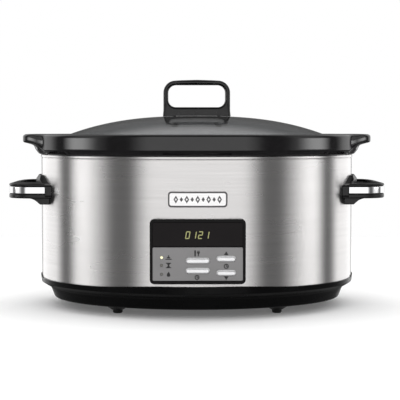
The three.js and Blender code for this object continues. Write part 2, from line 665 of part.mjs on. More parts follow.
// Curved web under one arm, from the bar down to the foot of the escutcheon.
function gusset(near, far) {
  const foot = 177.5;
  const tip = 192;
  const shape = new THREE.Shape();
  shape.moveTo(160, GRIP_BOTTOM + 1);
  shape.lineTo(160, GRIP_PLATE_BOTTOM + 0.4);
  shape.lineTo(foot, GRIP_PLATE_BOTTOM + 0.4);
  shape.quadraticCurveTo(foot + 6, GRIP_BOTTOM - 0.6, tip, GRIP_BOTTOM);
  shape.lineTo(tip, GRIP_BOTTOM + 1);
  return frontOn(shape, near, far);
}

function gripBody() {
  const coreInset = GRIP_TRIM_THICKNESS + GAP;
  const loop = cut(
    join(
      raise(gripPlan(0), GRIP_BOTTOM, GRIP_BOTTOM + GRIP_LOWER_LIP),
      raise(gripPlan(coreInset), GRIP_BOTTOM + 1, GRIP_CORE_TOP),
    ),
    fingerHole(),
  );
  const webs = join(gusset(-56, -44), gusset(44, 56));
  const body = join(cut(join(loop, webs), clearOfShell(0)), gripPlate());
  const screwHoles = [-GRIP_SCREW_TURN, GRIP_SCREW_TURN].map((turn) => gripScrewHole(turn, 2, -2, 14));
  return cut(body, ...screwHoles);
}

function gripCap() {
  const edge = raise(gripPlan(0), GRIP_CORE_TOP + GAP, GRIP_CAP_TOP - 1.8);
  const crown = raise(gripPlan(1.8), GRIP_CORE_TOP + 1, GRIP_CAP_TOP);
  return cut(join(edge, crown), fingerHole(), clearOfShell(GRIP_PLATE_THICKNESS + GAP));
}

function gripTrim() {
  const bottom = GRIP_BOTTOM + GRIP_LOWER_LIP + GAP;
  const top = GRIP_CORE_TOP;
  return cut(
    raise(gripPlan(0), bottom, top), raise(gripPlan(GRIP_TRIM_THICKNESS), bottom - 1, top + 1),
    clearOfShell(GRIP_PLATE_THICKNESS + GAP),
  );
}

function addGrips() {
  for (const [side, turn] of [['right', 0], ['left', Math.PI]]) {
    addPart(baseUnit, `${side}_handle_body`, gripBody(), BLACK_PLASTIC).rotation.z = turn;
    addPart(baseUnit, `${side}_handle_cap`, gripCap(), BLACK_PLASTIC).rotation.z = turn;
    addPart(baseUnit, `${side}_handle_trim`, gripTrim(), CHROME).rotation.z = turn;
  }
  for (const [corner, turn] of GRIP_SCREW_PLACES) {
    const { x, y, facing } = onShell(turn);
    const headHeight = 2.2;
    const socket = new THREE.Group();
    socket.position.set(x, y, GRIP_SCREW_Z);
    socket.rotation.z = facing;
    baseUnit.add(socket);
    const fixing = addPart(socket, `handle_screw_${corner}`, screw(3.6, headHeight, 1.7, 15), ZINC_STEEL);
    fixing.rotation.y = Math.PI / 2;
    fixing.position.x = -SHELL_WALL - 2 * GAP - headHeight;
  }
}

// ---------------------------------------------------------------- crock

// One ear of the rim: a shelf with a hollowed underside, narrowing towards its tip.
function crockEar() {
  const side = new THREE.Shape();
  side.moveTo(172, RIM_TOP);
  side.lineTo(172, RIM_UNDERSIDE + 3);
  side.lineTo(186, 180);
  side.quadraticCurveTo(189.5, 186, EAR_TIP - 6, 187.4);
  side.lineTo(EAR_TIP - 1.5, 189.2);
  side.lineTo(EAR_TIP, 190.6);
  side.lineTo(EAR_TIP, RIM_TOP - 1.8);
  side.lineTo(EAR_TIP - 2, RIM_TOP);
  const plan = new THREE.Shape();
  plan.moveTo(172, -EAR_ROOT_HALF_WIDTH);
  plan.quadraticCurveTo(EAR_TIP - 8, -EAR_TIP_HALF_WIDTH - 16, EAR_TIP - 1.2, -EAR_TIP_HALF_WIDTH);
  plan.quadraticCurveTo(EAR_TIP, -EAR_TIP_HALF_WIDTH / 2, EAR_TIP, 0);
  plan.quadraticCurveTo(EAR_TIP, EAR_TIP_HALF_WIDTH / 2, EAR_TIP - 1.2, EAR_TIP_HALF_WIDTH);
  plan.quadraticCurveTo(EAR_TIP - 8, EAR_TIP_HALF_WIDTH + 16, 172, EAR_ROOT_HALF_WIDTH);
  return common(frontOn(side, -70, 70), raise(plan, RIM_UNDERSIDE - 1, RIM_TOP + 1));
}

function crock() {
  const seatInner = LID_RECESS_HALF_LENGTH - 7.6;
  const bowl = ovalLathe([
    [0, CROCK_FLOOR_OUTSIDE], [141, CROCK_FLOOR_OUTSIDE], [151, 50.4], [156.6, 56.5], [158.6, 66],
    [165.2, 172], [170, RIM_UNDERSIDE], [182, RIM_UNDERSIDE], [184.6, 176.6], [187, 179.2],
    [RIM_HALF_LENGTH, 181.6], [RIM_HALF_LENGTH, RIM_TOP - 2.8], [RIM_HALF_LENGTH - 1, RIM_TOP - 0.8],
    [RIM_HALF_LENGTH - 3, RIM_TOP], [LID_RECESS_HALF_LENGTH + 2, RIM_TOP],
    [LID_RECESS_HALF_LENGTH + 0.2, RIM_TOP - 1.4], [LID_RECESS_HALF_LENGTH, LID_SEAT_Z],
    [seatInner, LID_SEAT_Z], [seatInner - 1, LID_SEAT_Z - 1.4], [150.4, 68], [147.6, 61],
    [139, CROCK_FLOOR_INSIDE], [0, CROCK_FLOOR_INSIDE],
  ]);
  const ear = crockEar();
  return join(bowl, ear, ear.clone().rotateZ(Math.PI));
}

// ---------------------------------------------------------------- lid

const lidHalfWidth = (r) => (r * LID_HALF_WIDTH) / LID_HALF_LENGTH;
const domeHeight = (r) => RIM_TOP + LID_RISE * (1 - (r / LID_RIM_CROSSING) ** LID_CURVE);
const DOME_STATIONS = [0, 20, 36, 64, 92, 120, 144];

function dome(thickness, offset) {
  const edge = LID_SEAT_Z + 0.4;
  const under = DOME_STATIONS.map((r) => [r, domeHeight(r) - thickness + offset]);
  const over = DOME_STATIONS.map((r) => [r, domeHeight(r) + offset]).reverse();
  const skirt = [
    [157.5, edge + 2], [158.5, edge], [LID_HALF_LENGTH - 0.6, edge], [LID_HALF_LENGTH, edge + 0.8],
    [LID_HALF_LENGTH, domeHeight(LID_HALF_LENGTH) + offset],
  ];
  return ovalLathe([...under, ...skirt, ...over], lidHalfWidth);
}

function lidGlass() {
  const holes = [-LID_SCREW_X, LID_SCREW_X].map((x) => upright(2.6, 200, 230, x));
  return cut(dome(GLASS_THICKNESS, 0), ...holes);
}

function lidHandleOutline() {
  const half = LID_HANDLE_HALF_LENGTH;
  const shoulder = LID_HANDLE_TOP - 1;
  const foot = 214;
  const shape = new THREE.Shape();
  shape.moveTo(-half - 0.8, foot);
  shape.quadraticCurveTo(-half - 0.6, 224, -half + 0.4, 228);
  shape.lineTo(-half, 246);
  shape.quadraticCurveTo(-half, shoulder - 1.5, -half + 15, shoulder);
  shape.quadraticCurveTo(0, LID_HANDLE_TOP + 1, half - 15, shoulder);
  shape.quadraticCurveTo(half, shoulder - 1.5, half, 246);
  shape.lineTo(half - 0.4, 228);
  shape.quadraticCurveTo(half + 0.6, 224, half + 0.8, foot);
  shape.lineTo(29, foot);
  shape.lineTo(29, 220.3);
  shape.lineTo(-29, 220.3);
  shape.lineTo(-29, foot);
  return shape;
}

function lidHandle() {
  const windowShape = roundedRectangle(
    69.5, LID_WINDOW_TOP - LID_WINDOW_BOTTOM, 9, 0, (LID_WINDOW_TOP + LID_WINDOW_BOTTOM) / 2,
  );
  const half = LID_HANDLE_DEPTH / 2;
  const block = frontOn(lidHandleOutline(), -half, half);
  const holes = [-LID_SCREW_X, LID_SCREW_X].map((x) => upright(2.1, 200, 227, x));
  const glassBelow = dome(GLASS_THICKNESS * 2, GAP);
  return cut(block, frontOn(windowShape, -half - 1, half + 1), glassBelow, ...holes);
}

function addLid() {
  addPart(lid, 'lid_glass', lidGlass(), GLASS);
  addPart(lid, 'lid_handle', lidHandle(), BLACK_PLASTIC);
  const washerTop = domeHeight(LID_SCREW_X + LID_WASHER_RADIUS) - GLASS_THICKNESS - GAP;
  const washerBottom = washerTop - 1.8;
  const headHeight = 2.4;
  for (const [side, x] of [['left', -LID_SCREW_X], ['right', LID_SCREW_X]]) {
    const washer = turned([
      [2.2, washerBottom], [LID_WASHER_RADIUS, washerBottom], [LID_WASHER_RADIUS, washerTop],
      [2.2, washerTop],
    ]);
    addPart(lid, `lid_washer_${side}`, washer, RUBBER).position.x = x;
    const fixing = addPart(lid, `lid_screw_${side}`, screw(4, headHeight, 1.8, 15), BLACK_STEEL);
    fixing.position.set(x, 0, washerBottom - GAP - headHeight);
  }
}

addBaseUnit();
addControlPanel();
addPart(baseUnit, 'badge_plate', badgePlate(), BADGE_WHITE);
addGrips();
addPart(cooker, 'crock', crock(), BLACK_GLAZE);
addLid();

export default cooker;
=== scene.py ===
from math import ceil, cos, pi, radians, sin, tan

import bmesh
import bpy
from mathutils import Matrix, Vector


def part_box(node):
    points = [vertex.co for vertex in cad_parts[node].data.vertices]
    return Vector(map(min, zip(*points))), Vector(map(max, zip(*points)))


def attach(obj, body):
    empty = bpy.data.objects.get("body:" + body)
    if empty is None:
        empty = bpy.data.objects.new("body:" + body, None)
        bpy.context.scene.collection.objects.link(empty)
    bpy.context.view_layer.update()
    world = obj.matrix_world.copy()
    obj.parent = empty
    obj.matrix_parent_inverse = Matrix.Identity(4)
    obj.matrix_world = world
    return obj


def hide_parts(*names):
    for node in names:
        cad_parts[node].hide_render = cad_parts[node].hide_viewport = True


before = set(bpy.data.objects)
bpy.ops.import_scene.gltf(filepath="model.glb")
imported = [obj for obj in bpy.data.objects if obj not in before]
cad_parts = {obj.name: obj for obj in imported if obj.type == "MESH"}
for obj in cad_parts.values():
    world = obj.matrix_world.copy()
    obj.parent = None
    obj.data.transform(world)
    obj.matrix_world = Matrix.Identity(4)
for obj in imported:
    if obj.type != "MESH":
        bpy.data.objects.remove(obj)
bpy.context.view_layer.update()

MM = 0.001
OVAL_STEPS = 288  # facets round each oval
ROUND_STEPS = 40  # facets round small turned pieces
ARC_STEP = radians(9)  # turn of one facet in a rounded corner
FUZZ = 1e-6  # corners closer than this, in metres, are one corner

SCENE = bpy.context.scene


def cad(node):
    """Lowest and highest corner of a CAD node, in millimetres."""
    low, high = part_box(node)
    return low / MM, high / MM


# ---------------------------------------------------------------- measures from the CAD nodes

SHELL_LOW, SHELL_HIGH = cad("outer_shell")
BEAD_STANDOUT = 0.6
BEAD_HEIGHT = 3.2
SHELL_R = SHELL_HIGH.x - BEAD_STANDOUT  # half-length of the steel wrap
INSET = SHELL_HIGH.x - SHELL_HIGH.y  # every wall's half-length less its half-width
OVAL_BLEND = 100  # below this half-length, ovals shrink evenly towards the axis

BASE_LOW, BASE_HIGH = cad("base_housing")
FOOT_LOW, FOOT_HIGH = cad("foot_front_right")
WELL_LOW, WELL_HIGH = cad("heating_well")
CROCK_HIGH = cad("crock")[1]
GLASS_LOW, GLASS_HIGH = cad("lid_glass")
HANDLE_HIGH = cad("lid_handle")[1]
BEZEL_LOW, BEZEL_HIGH = cad("control_bezel")
WINDOW_LOW, WINDOW_HIGH = cad("display_window")
FASCIA_LOW, FASCIA_HIGH = cad("control_fascia")
BADGE_LOW, BADGE_HIGH = cad("badge_plate")
GLAND_LOW, GLAND_HIGH = cad("cord_gland")
GRIP_LOW, GRIP_HIGH = cad("right_handle_body")
CAP_LOW, CAP_HIGH = cad("right_handle_cap")
TRIM_LOW, TRIM_HIGH = cad("right_handle_trim")

CLEARANCE = 0.3  # gap that the CAD leaves between pieces that touch


# ---------------------------------------------------------------- outlines

def rounded(corners, closed=True):
    """Outline through corners (x, y, radius), each turned with a true arc of its radius."""
    outline = []
    last = len(corners) - 1
    for i, (x, y, radius) in enumerate(corners):
        here = Vector((x, y))
        if radius == 0 or (not closed and i in (0, last)):
            outline.append(here)
            continue
        back = (Vector(corners[i - 1][:2]) - here).normalized()
        ahead = (Vector(corners[(i + 1) % len(corners)][:2]) - here).normalized()
        half = back.angle(ahead) / 2
        turn = pi - 2 * half
        centre = here + (back + ahead).normalized() * (radius / sin(half))
        start = here + back * (radius / tan(half)) - centre
        end = here + ahead * (radius / tan(half)) - centre
        steps = max(2, ceil(turn / ARC_STEP))
        for k in range(steps + 1):
            share = k / steps
            spoke = start * sin((1 - share) * turn) + end * sin(share * turn)
            outline.append(centre + spoke / sin(turn))
    return [(p[0], p[1]) for p in outline]


def resample(line, count):
    """The same open line as `count` points, evenly spaced."""
    points = [Vector(p) for p in line]
    lengths = [(b - a).length for a, b in zip(points, points[1:])]
    total = sum(lengths)
    even = []
    i, before = 0, 0.0
    for k in range(count):
        wanted = total * k / (count - 1)
        while i < len(lengths) - 1 and before + lengths[i] < wanted:
            before += lengths[i]
            i += 1
        share = min(1.0, (wanted - before) / lengths[i])
        even.append(points[i].lerp(points[i + 1], share))
    return even


def rectangle(width, height, radius, x=0.0, y=0.0):
    w, h = width / 2, height / 2
    return rounded([(x + w, y + h, radius), (x - w, y + h, radius),
                    (x - w, y - h, radius), (x + w, y - h, radius)])


def circle(radius, x=0.0, y=0.0, steps=ROUND_STEPS):
    turns = [2 * pi * k / steps for k in range(steps)]
    return [(x + radius * cos(t), y + radius * sin(t)) for t in turns]


def oval(r):
    """Half-width of the oval whose half-length is r."""
    if r > OVAL_BLEND:
        return r - INSET
    return r * (OVAL_BLEND - INSET) / OVAL_BLEND


# ---------------------------------------------------------------- meshes

def solid(name, points, faces):
    mesh = bpy.data.meshes.new(name)
    mesh.from_pydata([Vector(p) * MM for p in points], [], faces)
    weld(mesh)
    thing = bpy.data.objects.new(name, mesh)
    SCENE.collection.objects.link(thing)
    return thing


def weld(mesh):
    """Merges corners that coincide and turns every face outwards."""
    work = bmesh.new()
    work.from_mesh(mesh)
    bmesh.ops.remove_doubles(work, verts=work.verts, dist=FUZZ)
    bmesh.ops.dissolve_degenerate(work, edges=work.edges, dist=FUZZ)
    bmesh.ops.recalc_face_normals(work, faces=work.faces)
    work.to_mesh(mesh)
    work.free()


def loft(name, loops, wrap=False):
    """Skin over closed loops of equal length; it joins up with itself, or has flat ends."""
    size, count = len(loops[0]), len(loops)
    faces = []
    for i in range(count if wrap else count - 1):
        a, b = i * size, (i + 1) % count * size
        for k in range(size):
            n = (k + 1) % size
            faces.append((a + k, a + n, b + n, b + k))
    if not wrap:
        faces.append(tuple(range(size)))
        faces.append(tuple((count - 1) * size + k for k in range(size)))
    return solid(name, [p for loop in loops for p in loop], faces)


def oval_lathe(name, profile, half_width=oval, steps=OVAL_STEPS):
    """Closed profile of (half-length, height) points, carried round the oval."""
    loops = []
    for k in range(steps):
        t = 2 * pi * k / steps
        loops.append([(r * cos(t), half_width(r) * sin(t), z) for r, z in profile])
    return loft(name, loops, wrap=True)


def turned(name, profile, x=0.0, y=0.0, steps=ROUND_STEPS):
    thing = oval_lathe(name, profile, half_width=lambda r: r, steps=steps)
    return shift(thing, x, y, 0)


FACINGS = {
    "front": (Matrix(((1, 0, 0), (0, 0, -1), (0, 1, 0))).to_4x4(), 1),
    "end": (Matrix(((0, 0, 1), (1, 0, 0), (0, 1, 0))).to_4x4(), 0),
    "plan": (Matrix.Identity(4), 2),
}


def slab(outlines, near, far, facing="front", bevel=0.0, bevel_steps=3):
    """Plate with a first outline for its edge and the others for its holes.

    Its two faces lie at `near` and `far` along the axis that it faces, and its edges are rounded.
    """
    curve = bpy.data.curves.new("slab", "CURVE")
    curve.dimensions = "2D"
    curve.fill_mode = "BOTH"
    for outline in outlines:
        spline = curve.splines.new("POLY")
        spline.points.add(len(outline) - 1)
        for point, (x, y) in zip(spline.points, outline):
            point.co = (x * MM, y * MM, 0, 1)
        spline.use_cyclic_u = True
    curve.extrude = (abs(far - near) / 2 - bevel) * MM
    curve.bevel_depth = bevel * MM
    curve.bevel_resolution = bevel_steps
    curve.offset = -bevel * MM
    holder = bpy.data.objects.new("slab", curve)
    SCENE.collection.objects.link(holder)
    depsgraph = bpy.context.evaluated_depsgraph_get()
    mesh = bpy.data.meshes.new_from_object(holder.evaluated_get(depsgraph))
    bpy.data.objects.remove(holder)
    bpy.data.curves.remove(curve)
    matrix, axis = FACINGS[facing]
    mesh.transform(matrix)
    middle = Vector((0, 0, 0))
    middle[axis] = (near + far) / 2 * MM
    mesh.transform(Matrix.Translation(middle))
    weld(mesh)
    thing = bpy.data.objects.new("slab", mesh)
    SCENE.collection.objects.link(thing)
    return thing


def shift(thing, x, y, z):
    thing.data.transform(Matrix.Translation(Vector((x, y, z)) * MM))
    return thing


def turn(thing, angle, axis):
    thing.data.transform(Matrix.Rotation(angle, 4, axis))
    return thing


def half_turn(thing):
    """A copy of a piece, turned half round the upright axis."""
    twin = thing.copy()
    twin.data = thing.data.copy()
    SCENE.collection.objects.link(twin)
    return turn(twin, pi, "Z")


def bake(thing):
    """Replaces a mesh by what its modifiers make of it."""
    depsgraph = bpy.context.evaluated_depsgraph_get()
    mesh = bpy.data.meshes.new_from_object(thing.evaluated_get(depsgraph))
    old = thing.data
    thing.modifiers.clear()
    thing.data = mesh
    bpy.data.meshes.remove(old)
    return thing


def combine(thing, others, operation):
    for other in others:
        modifier = thing.modifiers.new(operation, "BOOLEAN")
        modifier.operation = operation
        modifier.solver = "EXACT"
        modifier.object = other
    bake(thing)
    for other in others:
        discard(other)
    return thing


def cut(thing, *others):
    return combine(thing, others, "DIFFERENCE")


def join(thing, *others):
    return combine(thing, others, "UNION")


def discard(thing):
    mesh = thing.data
    bpy.data.objects.remove(thing)
    bpy.data.meshes.remove(mesh)


def gather(things):
    """Several separate solids as one object."""
    work = bmesh.new()
    for thing in things:
        work.from_mesh(thing.data)
    first, *rest = things
    work.to_mesh(first.data)
    work.free()
    for thing in rest:
        discard(thing)
    return first


def reshape(thing, change):
    """Moves each corner of a mesh by a rule that works in millimetres."""
    for vertex in thing.data.vertices:
        vertex.co = change(vertex.co / MM) * MM
    thing.data.update()
    return thing


def slice_along_x(thing, step):
    """Adds edges across a plate every `step` millimetres, so that it can bend."""
    work = bmesh.new()
    work.from_mesh(thing.data)
    low = min(v.co.x for v in work.verts)
    high = max(v.co.x for v in work.verts)
    x = low + step * MM
    while x < high:
        everything = work.verts[:] + work.edges[:] + work.faces[:]
        bmesh.ops.bisect_plane(work, geom=everything, plane_co=(x, 0, 0), plane_no=(1, 0, 0))
        x += step * MM
    work.to_mesh(thing.data)
    work.free()
    return thing


def piece(thing, name, body, material, slot, *nodes, sharp=32):
    """Names a finished mesh, dresses it, hangs it on its body, and hides the CAD nodes that it stands for.
    """
    thing.name = name
    thing.data.name = name
    thing.data.materials.clear()
    thing.data.materials.append(material)
    thing.data.shade_smooth()
    thing.data.set_sharp_from_angle(angle=radians(sharp))
    normals = thing.modifiers.new("normals", "WEIGHTED_NORMAL")
    normals.keep_sharp = True
    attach(thing, body)
    if nodes:
        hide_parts(*nodes)
    return thing


# ---------------------------------------------------------------- materials

def noise(tree, size, detail=3.0, distortion=0.0):
    """Noise with blotches of the given size along X, Y and Z, in millimetres."""
    place = tree.nodes.new("ShaderNodeTexCoord")
    scale = tree.nodes.new("ShaderNodeMapping")
    scale.inputs["Scale"].default_value = [1 / (s * MM) for s in size]
    texture = tree.nodes.new("ShaderNodeTexNoise")
    texture.inputs["Scale"].default_value = 1
    texture.inputs["Detail"].default_value = detail
    texture.inputs["Distortion"].default_value = distortion
    tree.links.new(place.outputs["Object"], scale.inputs["Vector"])
    tree.links.new(scale.outputs["Vector"], texture.inputs["Vector"])
    return texture.outputs[0]


def vary(tree, factor, low, high):
    """A value that follows a noise from low to high."""
    spread = tree.nodes.new("ShaderNodeMapRange")
    spread.inputs["From Min"].default_value = 0.3
    spread.inputs["From Max"].default_value = 0.7
    spread.inputs["To Min"].default_value = low
    spread.inputs["To Max"].default_value = high
    tree.links.new(factor, spread.inputs["Value"])
    return spread.outputs["Result"]


def blend(tree, factor, a, b):
    """A colour between a and b; each is a colour or another node's output."""
    mix = tree.nodes.new("ShaderNodeMix")
    mix.data_type = "RGBA"
    tree.links.new(factor, mix.inputs[0])
    for socket, value in ((mix.inputs[6], a), (mix.inputs[7], b)):
        if isinstance(value, bpy.types.NodeSocket):
            tree.links.new(value, socket)
        else:
            socket.default_value = (*value, 1)
    return mix.outputs[2]


def relief(tree, height, depth, below=None):
    """Bump from a noise, `depth` millimetres deep, laid over another bump."""
    if depth == 0:
        return below
    bump = tree.nodes.new("ShaderNodeBump")
    bump.inputs["Distance"].default_value = depth * MM
    tree.links.new(height, bump.inputs["Height"])
    if below is not None:
        tree.links.new(below, bump.inputs["Normal"])
    return bump.outputs["Normal"]


def material(name, color, roughness, grain, cloud=None, **sockets):
    """Principled material with a fine grain and broad clouds.

    grain and cloud are (size along X, Y and Z, change of colour, change of roughness, relief).
    """
    made = bpy.data.materials.new(name)
    made.use_nodes = True
    tree = made.node_tree
    shader = tree.nodes["Principled BSDF"]
    size, tone, gloss, depth = grain
    fine = noise(tree, size)
    dark = [c * (1 - tone) for c in color]
    light = [min(1, c * (1 + tone)) for c in color]
    tint = blend(tree, vary(tree, fine, 0, 1), dark, light)
    normal = relief(tree, fine, depth)
    if cloud:
        size, tone, cloud_gloss, depth = cloud
        broad = noise(tree, size, detail=2)
        shade = blend(tree, vary(tree, broad, 0, 1), [1 - tone] * 3, [1] * 3)
        product = tree.nodes.new("ShaderNodeMix")
        product.data_type = "RGBA"
        product.blend_type = "MULTIPLY"
        product.inputs[0].default_value = 1
        tree.links.new(tint, product.inputs[6])
        tree.links.new(shade, product.inputs[7])
        tint = product.outputs[2]
        normal = relief(tree, broad, depth, normal)
        gloss = gloss + cloud_gloss
        fine = broad
    tree.links.new(tint, shader.inputs["Base Color"])
    if normal is not None:
        tree.links.new(normal, shader.inputs["Normal"])
    rough = vary(tree, fine, max(0.0, roughness - gloss), roughness + gloss)
    tree.links.new(rough, shader.inputs["Roughness"])
    for key, value in sockets.items():
        shader.inputs[key.replace("_", " ")].default_value = value
    return made


def brushed_steel():
    """Horizontal brush lines: they blur reflections up and down much more than sideways."""
    made = material(
        "brushed_steel", (0.75, 0.735, 0.73), 0.27,
        grain=((140, 140, 2.4), 0.035, 0.0, 0.0),
        cloud=((120, 120, 30), 0.02, 0.008, 0.0),
        Metallic=1.0, Anisotropic=0.94, Anisotropic_Rotation=0.25,
    )
    tree = made.node_tree
    tangent = tree.nodes.new("ShaderNodeTangent")
    tangent.direction_type = "RADIAL"
    tangent.axis = "Z"
    tree.links.new(tangent.outputs["Tangent"], tree.nodes["Principled BSDF"].inputs["Tangent"])
    return made


def glowing(made, color, strength):
    shader = made.node_tree.nodes["Principled BSDF"]
    shader.inputs["Emission Color"].default_value = (*color, 1)
    shader.inputs["Emission Strength"].default_value = strength
    return made


FINE = (0.7, 0.7, 0.7)
EVEN = (6, 6, 6)
BROAD = (40, 40, 40)

STEEL = brushed_steel()
CHROME = material("polished_chrome", (0.86, 0.86, 0.87), 0.07, ((9, 9, 9), 0.02, 0.02, 0.001),
                  Metallic=1.0)
BASE_PLASTIC = material("base_plastic", (0.001, 0.001, 0.0012), 0.24, (FINE, 0.2, 0.05, 0.002),
                        (BROAD, 0.2, 0.04, 0.0), Specular_IOR_Level=0.3)
GRIP_PLASTIC = material("grip_plastic", (0.004, 0.004, 0.0042), 0.3, (FINE, 0.2, 0.05, 0.004),
                        (BROAD, 0.2, 0.04, 0.0), Specular_IOR_Level=0.35)
PANEL_PLASTIC = material("panel_plastic", (0.004, 0.0035, 0.0038), 0.24, (FINE, 0.15, 0.03, 0.001),
                         (BROAD, 0.15, 0.03, 0.0), Specular_IOR_Level=0.1)
HANDLE_PLASTIC = material("handle_plastic", (0.004, 0.0038, 0.004), 0.26, (FINE, 0.2, 0.04, 0.003),
                          (BROAD, 0.15, 0.03, 0.0), Specular_IOR_Level=0.4)
GLAZE = material("black_glaze", (0.006, 0.0055, 0.006), 0.06, (EVEN, 0.2, 0.015, 0.012),
                 ((34, 34, 22), 0.1, 0.01, 0.05), Specular_IOR_Level=0.5)
GLASS = material("tempered_glass", (0.87, 0.885, 0.9), 0.012, ((25, 25, 25), 0.01, 0.006, 0.0),
                 IOR=1.5, Transmission_Weight=1.0)
RUBBER = material("foot_rubber", (0.012, 0.012, 0.012), 0.75, (FINE, 0.25, 0.1, 0.02),
                  Specular_IOR_Level=0.25)
COATED = material("coated_steel", (0.055, 0.056, 0.058), 0.42, ((1.2, 1.2, 1.2), 0.2, 0.08, 0.02),
                  (BROAD, 0.15, 0.05, 0.0), Metallic=0.6)
ZINC = material("zinc_plate", (0.55, 0.56, 0.57), 0.34, ((1.5, 1.5, 1.5), 0.12, 0.08, 0.006),
                Metallic=1.0)
BLACK_STEEL = material("blackened_steel", (0.02, 0.02, 0.02), 0.4, ((1.5, 1.5, 1.5), 0.2, 0.08, 0.006),
                       Metallic=0.8)
FOIL = material("heater_foil", (0.62, 0.6, 0.55), 0.36, ((3, 3, 1.4), 0.1, 0.1, 0.08), Metallic=0.9)
FASCIA = material("fascia_paint", (0.235, 0.23, 0.232), 0.4, ((0.35, 0.35, 0.35), 0.09, 0.06, 0.004),
                  (BROAD, 0.05, 0.04, 0.0), Metallic=0.35)
WINDOW = material("smoked_acrylic", (0.0085, 0.007, 0.0075), 0.07, (BROAD, 0.1, 0.02, 0.0),
                  (EVEN, 0.05, 0.01, 0.001), Specular_IOR_Level=0.08)
SILVER = material("silver_paint", (0.84, 0.84, 0.85), 0.32, (FINE, 0.04, 0.05, 0.003), Metallic=0.2)
BADGE_FACE = material("badge_face", (0.9, 0.89, 0.89), 0.26, ((20, 20, 0.5), 0.02, 0.04, 0.001),
                      Metallic=0.1)
BADGE_INK = material("badge_ink", (0.07, 0.065, 0.068), 0.3, (FINE, 0.15, 0.06, 0.002))
ICON_INK = material("icon_ink", (0.008, 0.0075, 0.0085), 0.5, (FINE, 0.2, 0.08, 0.002))
BOARD = material("solder_mask", (0.014, 0.1, 0.04), 0.36, ((4, 4, 4), 0.3, 0.08, 0.02))
SWITCH = material("switch_plastic", (0.016, 0.016, 0.017), 0.5, (FINE, 0.2, 0.08, 0.01))
RELAY = material("relay_plastic", (0.015, 0.055, 0.19), 0.42, (FINE, 0.15, 0.08, 0.01))
RIBBON = material("ribbon_insulation", (0.32, 0.32, 0.33), 0.5, ((0.6, 60, 60), 0.2, 0.08, 0.1))
LENS = material("lamp_lens", (0.2, 0.195, 0.18), 0.2, (FINE, 0.08, 0.05, 0.003), Specular_IOR_Level=0.2)
LENS_LIT = glowing(material("lamp_lens_lit", (0.8, 0.78, 0.55), 0.2, (FINE, 0.05, 0.05, 0.003)),
                   (0.9, 0.86, 0.5), 0.75)
DIGITS = glowing(material("display_digits", (0.2, 0.2, 0.08), 0.4, (FINE, 0.1, 0.05, 0.0)),
                 (0.5, 0.5, 0.2), 0.36)


# ---------------------------------------------------------------- steel wrap and base

def on_wrap(r, x):
    """Distance in front of the axis of the oval with half-length r, at this x."""
    return oval(r) * (1 - (x / r) ** 2) ** 0.5


def steel_wrap():
    wall = 1.0
    top = SHELL_HIGH.z
    groove = top - BEAD_HEIGHT - 1.1
    stand = SHELL_R + BEAD_STANDOUT
    profile = rounded([
        (SHELL_R, SHELL_LOW.z, 0), (SHELL_R, groove, 0.2), (SHELL_R - 0.5, groove + 0.3, 0),
        (SHELL_R - 0.5, groove + 0.9, 0.2), (stand, groove + 1.3, 0.5), (stand, top, 1.1),
        (SHELL_R - wall - 0.4, top, 0.3), (SHELL_R - wall, top - 0.9, 0), (SHELL_R - wall, SHELL_LOW.z, 0),
    ])
    wrap = oval_lathe("wrap", profile)
    skirt_width = BEZEL_OPENING_WIDTH + 4
    opening = rectangle(skirt_width, BEZEL_OPENING_TOP - BEZEL_OPENING_BOTTOM + 4, 4, 0,
                        (BEZEL_OPENING_TOP + BEZEL_OPENING_BOTTOM) / 2)
    gland_hole = circle(7, 0, GLAND_Z)
    cut(wrap, slab([opening], -160, -120), slab([gland_hole], 120, 160))
    return piece(wrap, "steel_wrap", "root", STEEL, "brushed_steel", "outer_shell")


LIP_DIP = 2.8
LIP_DIP_START = 0.2  # shares of the half-length, from the middle of a long side
LIP_DIP_FULL = 0.65
LIP_END = 0.975


def ramp_up(value, start, end):
    """0 before start, 1 after end and a straight line between them."""
    return min(1, max(0, (value - start) / (end - start)))


def dip_lip(p):
    """Lowers the top edge of the lip between the middle of each long side and the ends."""
    if p.z < BASE_HIGH.z - 2:
        return p
    along = abs(p.x) / BASE_HIGH.x
    share = ramp_up(along, LIP_DIP_START, LIP_DIP_FULL)
    drop = LIP_DIP * share * share * (3 - 2 * share) * (1 - ramp_up(along, LIP_END, 1))
    return Vector((p.x, p.y, p.z - drop))


def base_tub():
    bottom = BASE_LOW.z + 5.2  # the bosses reach lower than the tub
    lip = BASE_HIGH.x
    ledge = 118.3
    profile = rounded([
        (ledge, bottom, 0.5), (166.3, bottom, 4), (169, 16.4, 9), (171.2, 21.8, 4), (176.4, 24.8, 6),
        (lip - 1, 28, 0.9), (lip, BASE_HIGH.z, 0.45), (lip - 1.15, BASE_HIGH.z, 0),
        (lip - 1.15, SHELL_LOW.z - CLEARANCE, 0), (178.2, SHELL_LOW.z - CLEARANCE, 0), (175, 26, 0),
        (169.4, 22.2, 0), (166.8, 17.4, 0), (163.6, bottom + 2.6, 0), (ledge + 3, bottom + 2.6, 0),
        (ledge, bottom + 5.3, 0), (ledge - 10, bottom + 5.3, 0), (ledge - 10, bottom + 2.7, 0),
        (ledge, bottom + 2.7, 0),
    ])
    tub = reshape(oval_lathe("tub", profile), dip_lip)
    boss = rounded([(0, BASE_LOW.z, 0), (6.6, BASE_LOW.z, 0.8), (12, bottom - 1.6, 8), (20, bottom + 0.4, 0),
                    (20, bottom + 1, 0), (0, bottom + 1, 0)])
    bosses = [turned("boss", boss, x, y) for x, y in FOOT_PLACES]
    join(tub, *bosses)
    return piece(tub, "base_tub", "root", BASE_PLASTIC, "black_plastic", "base_housing")


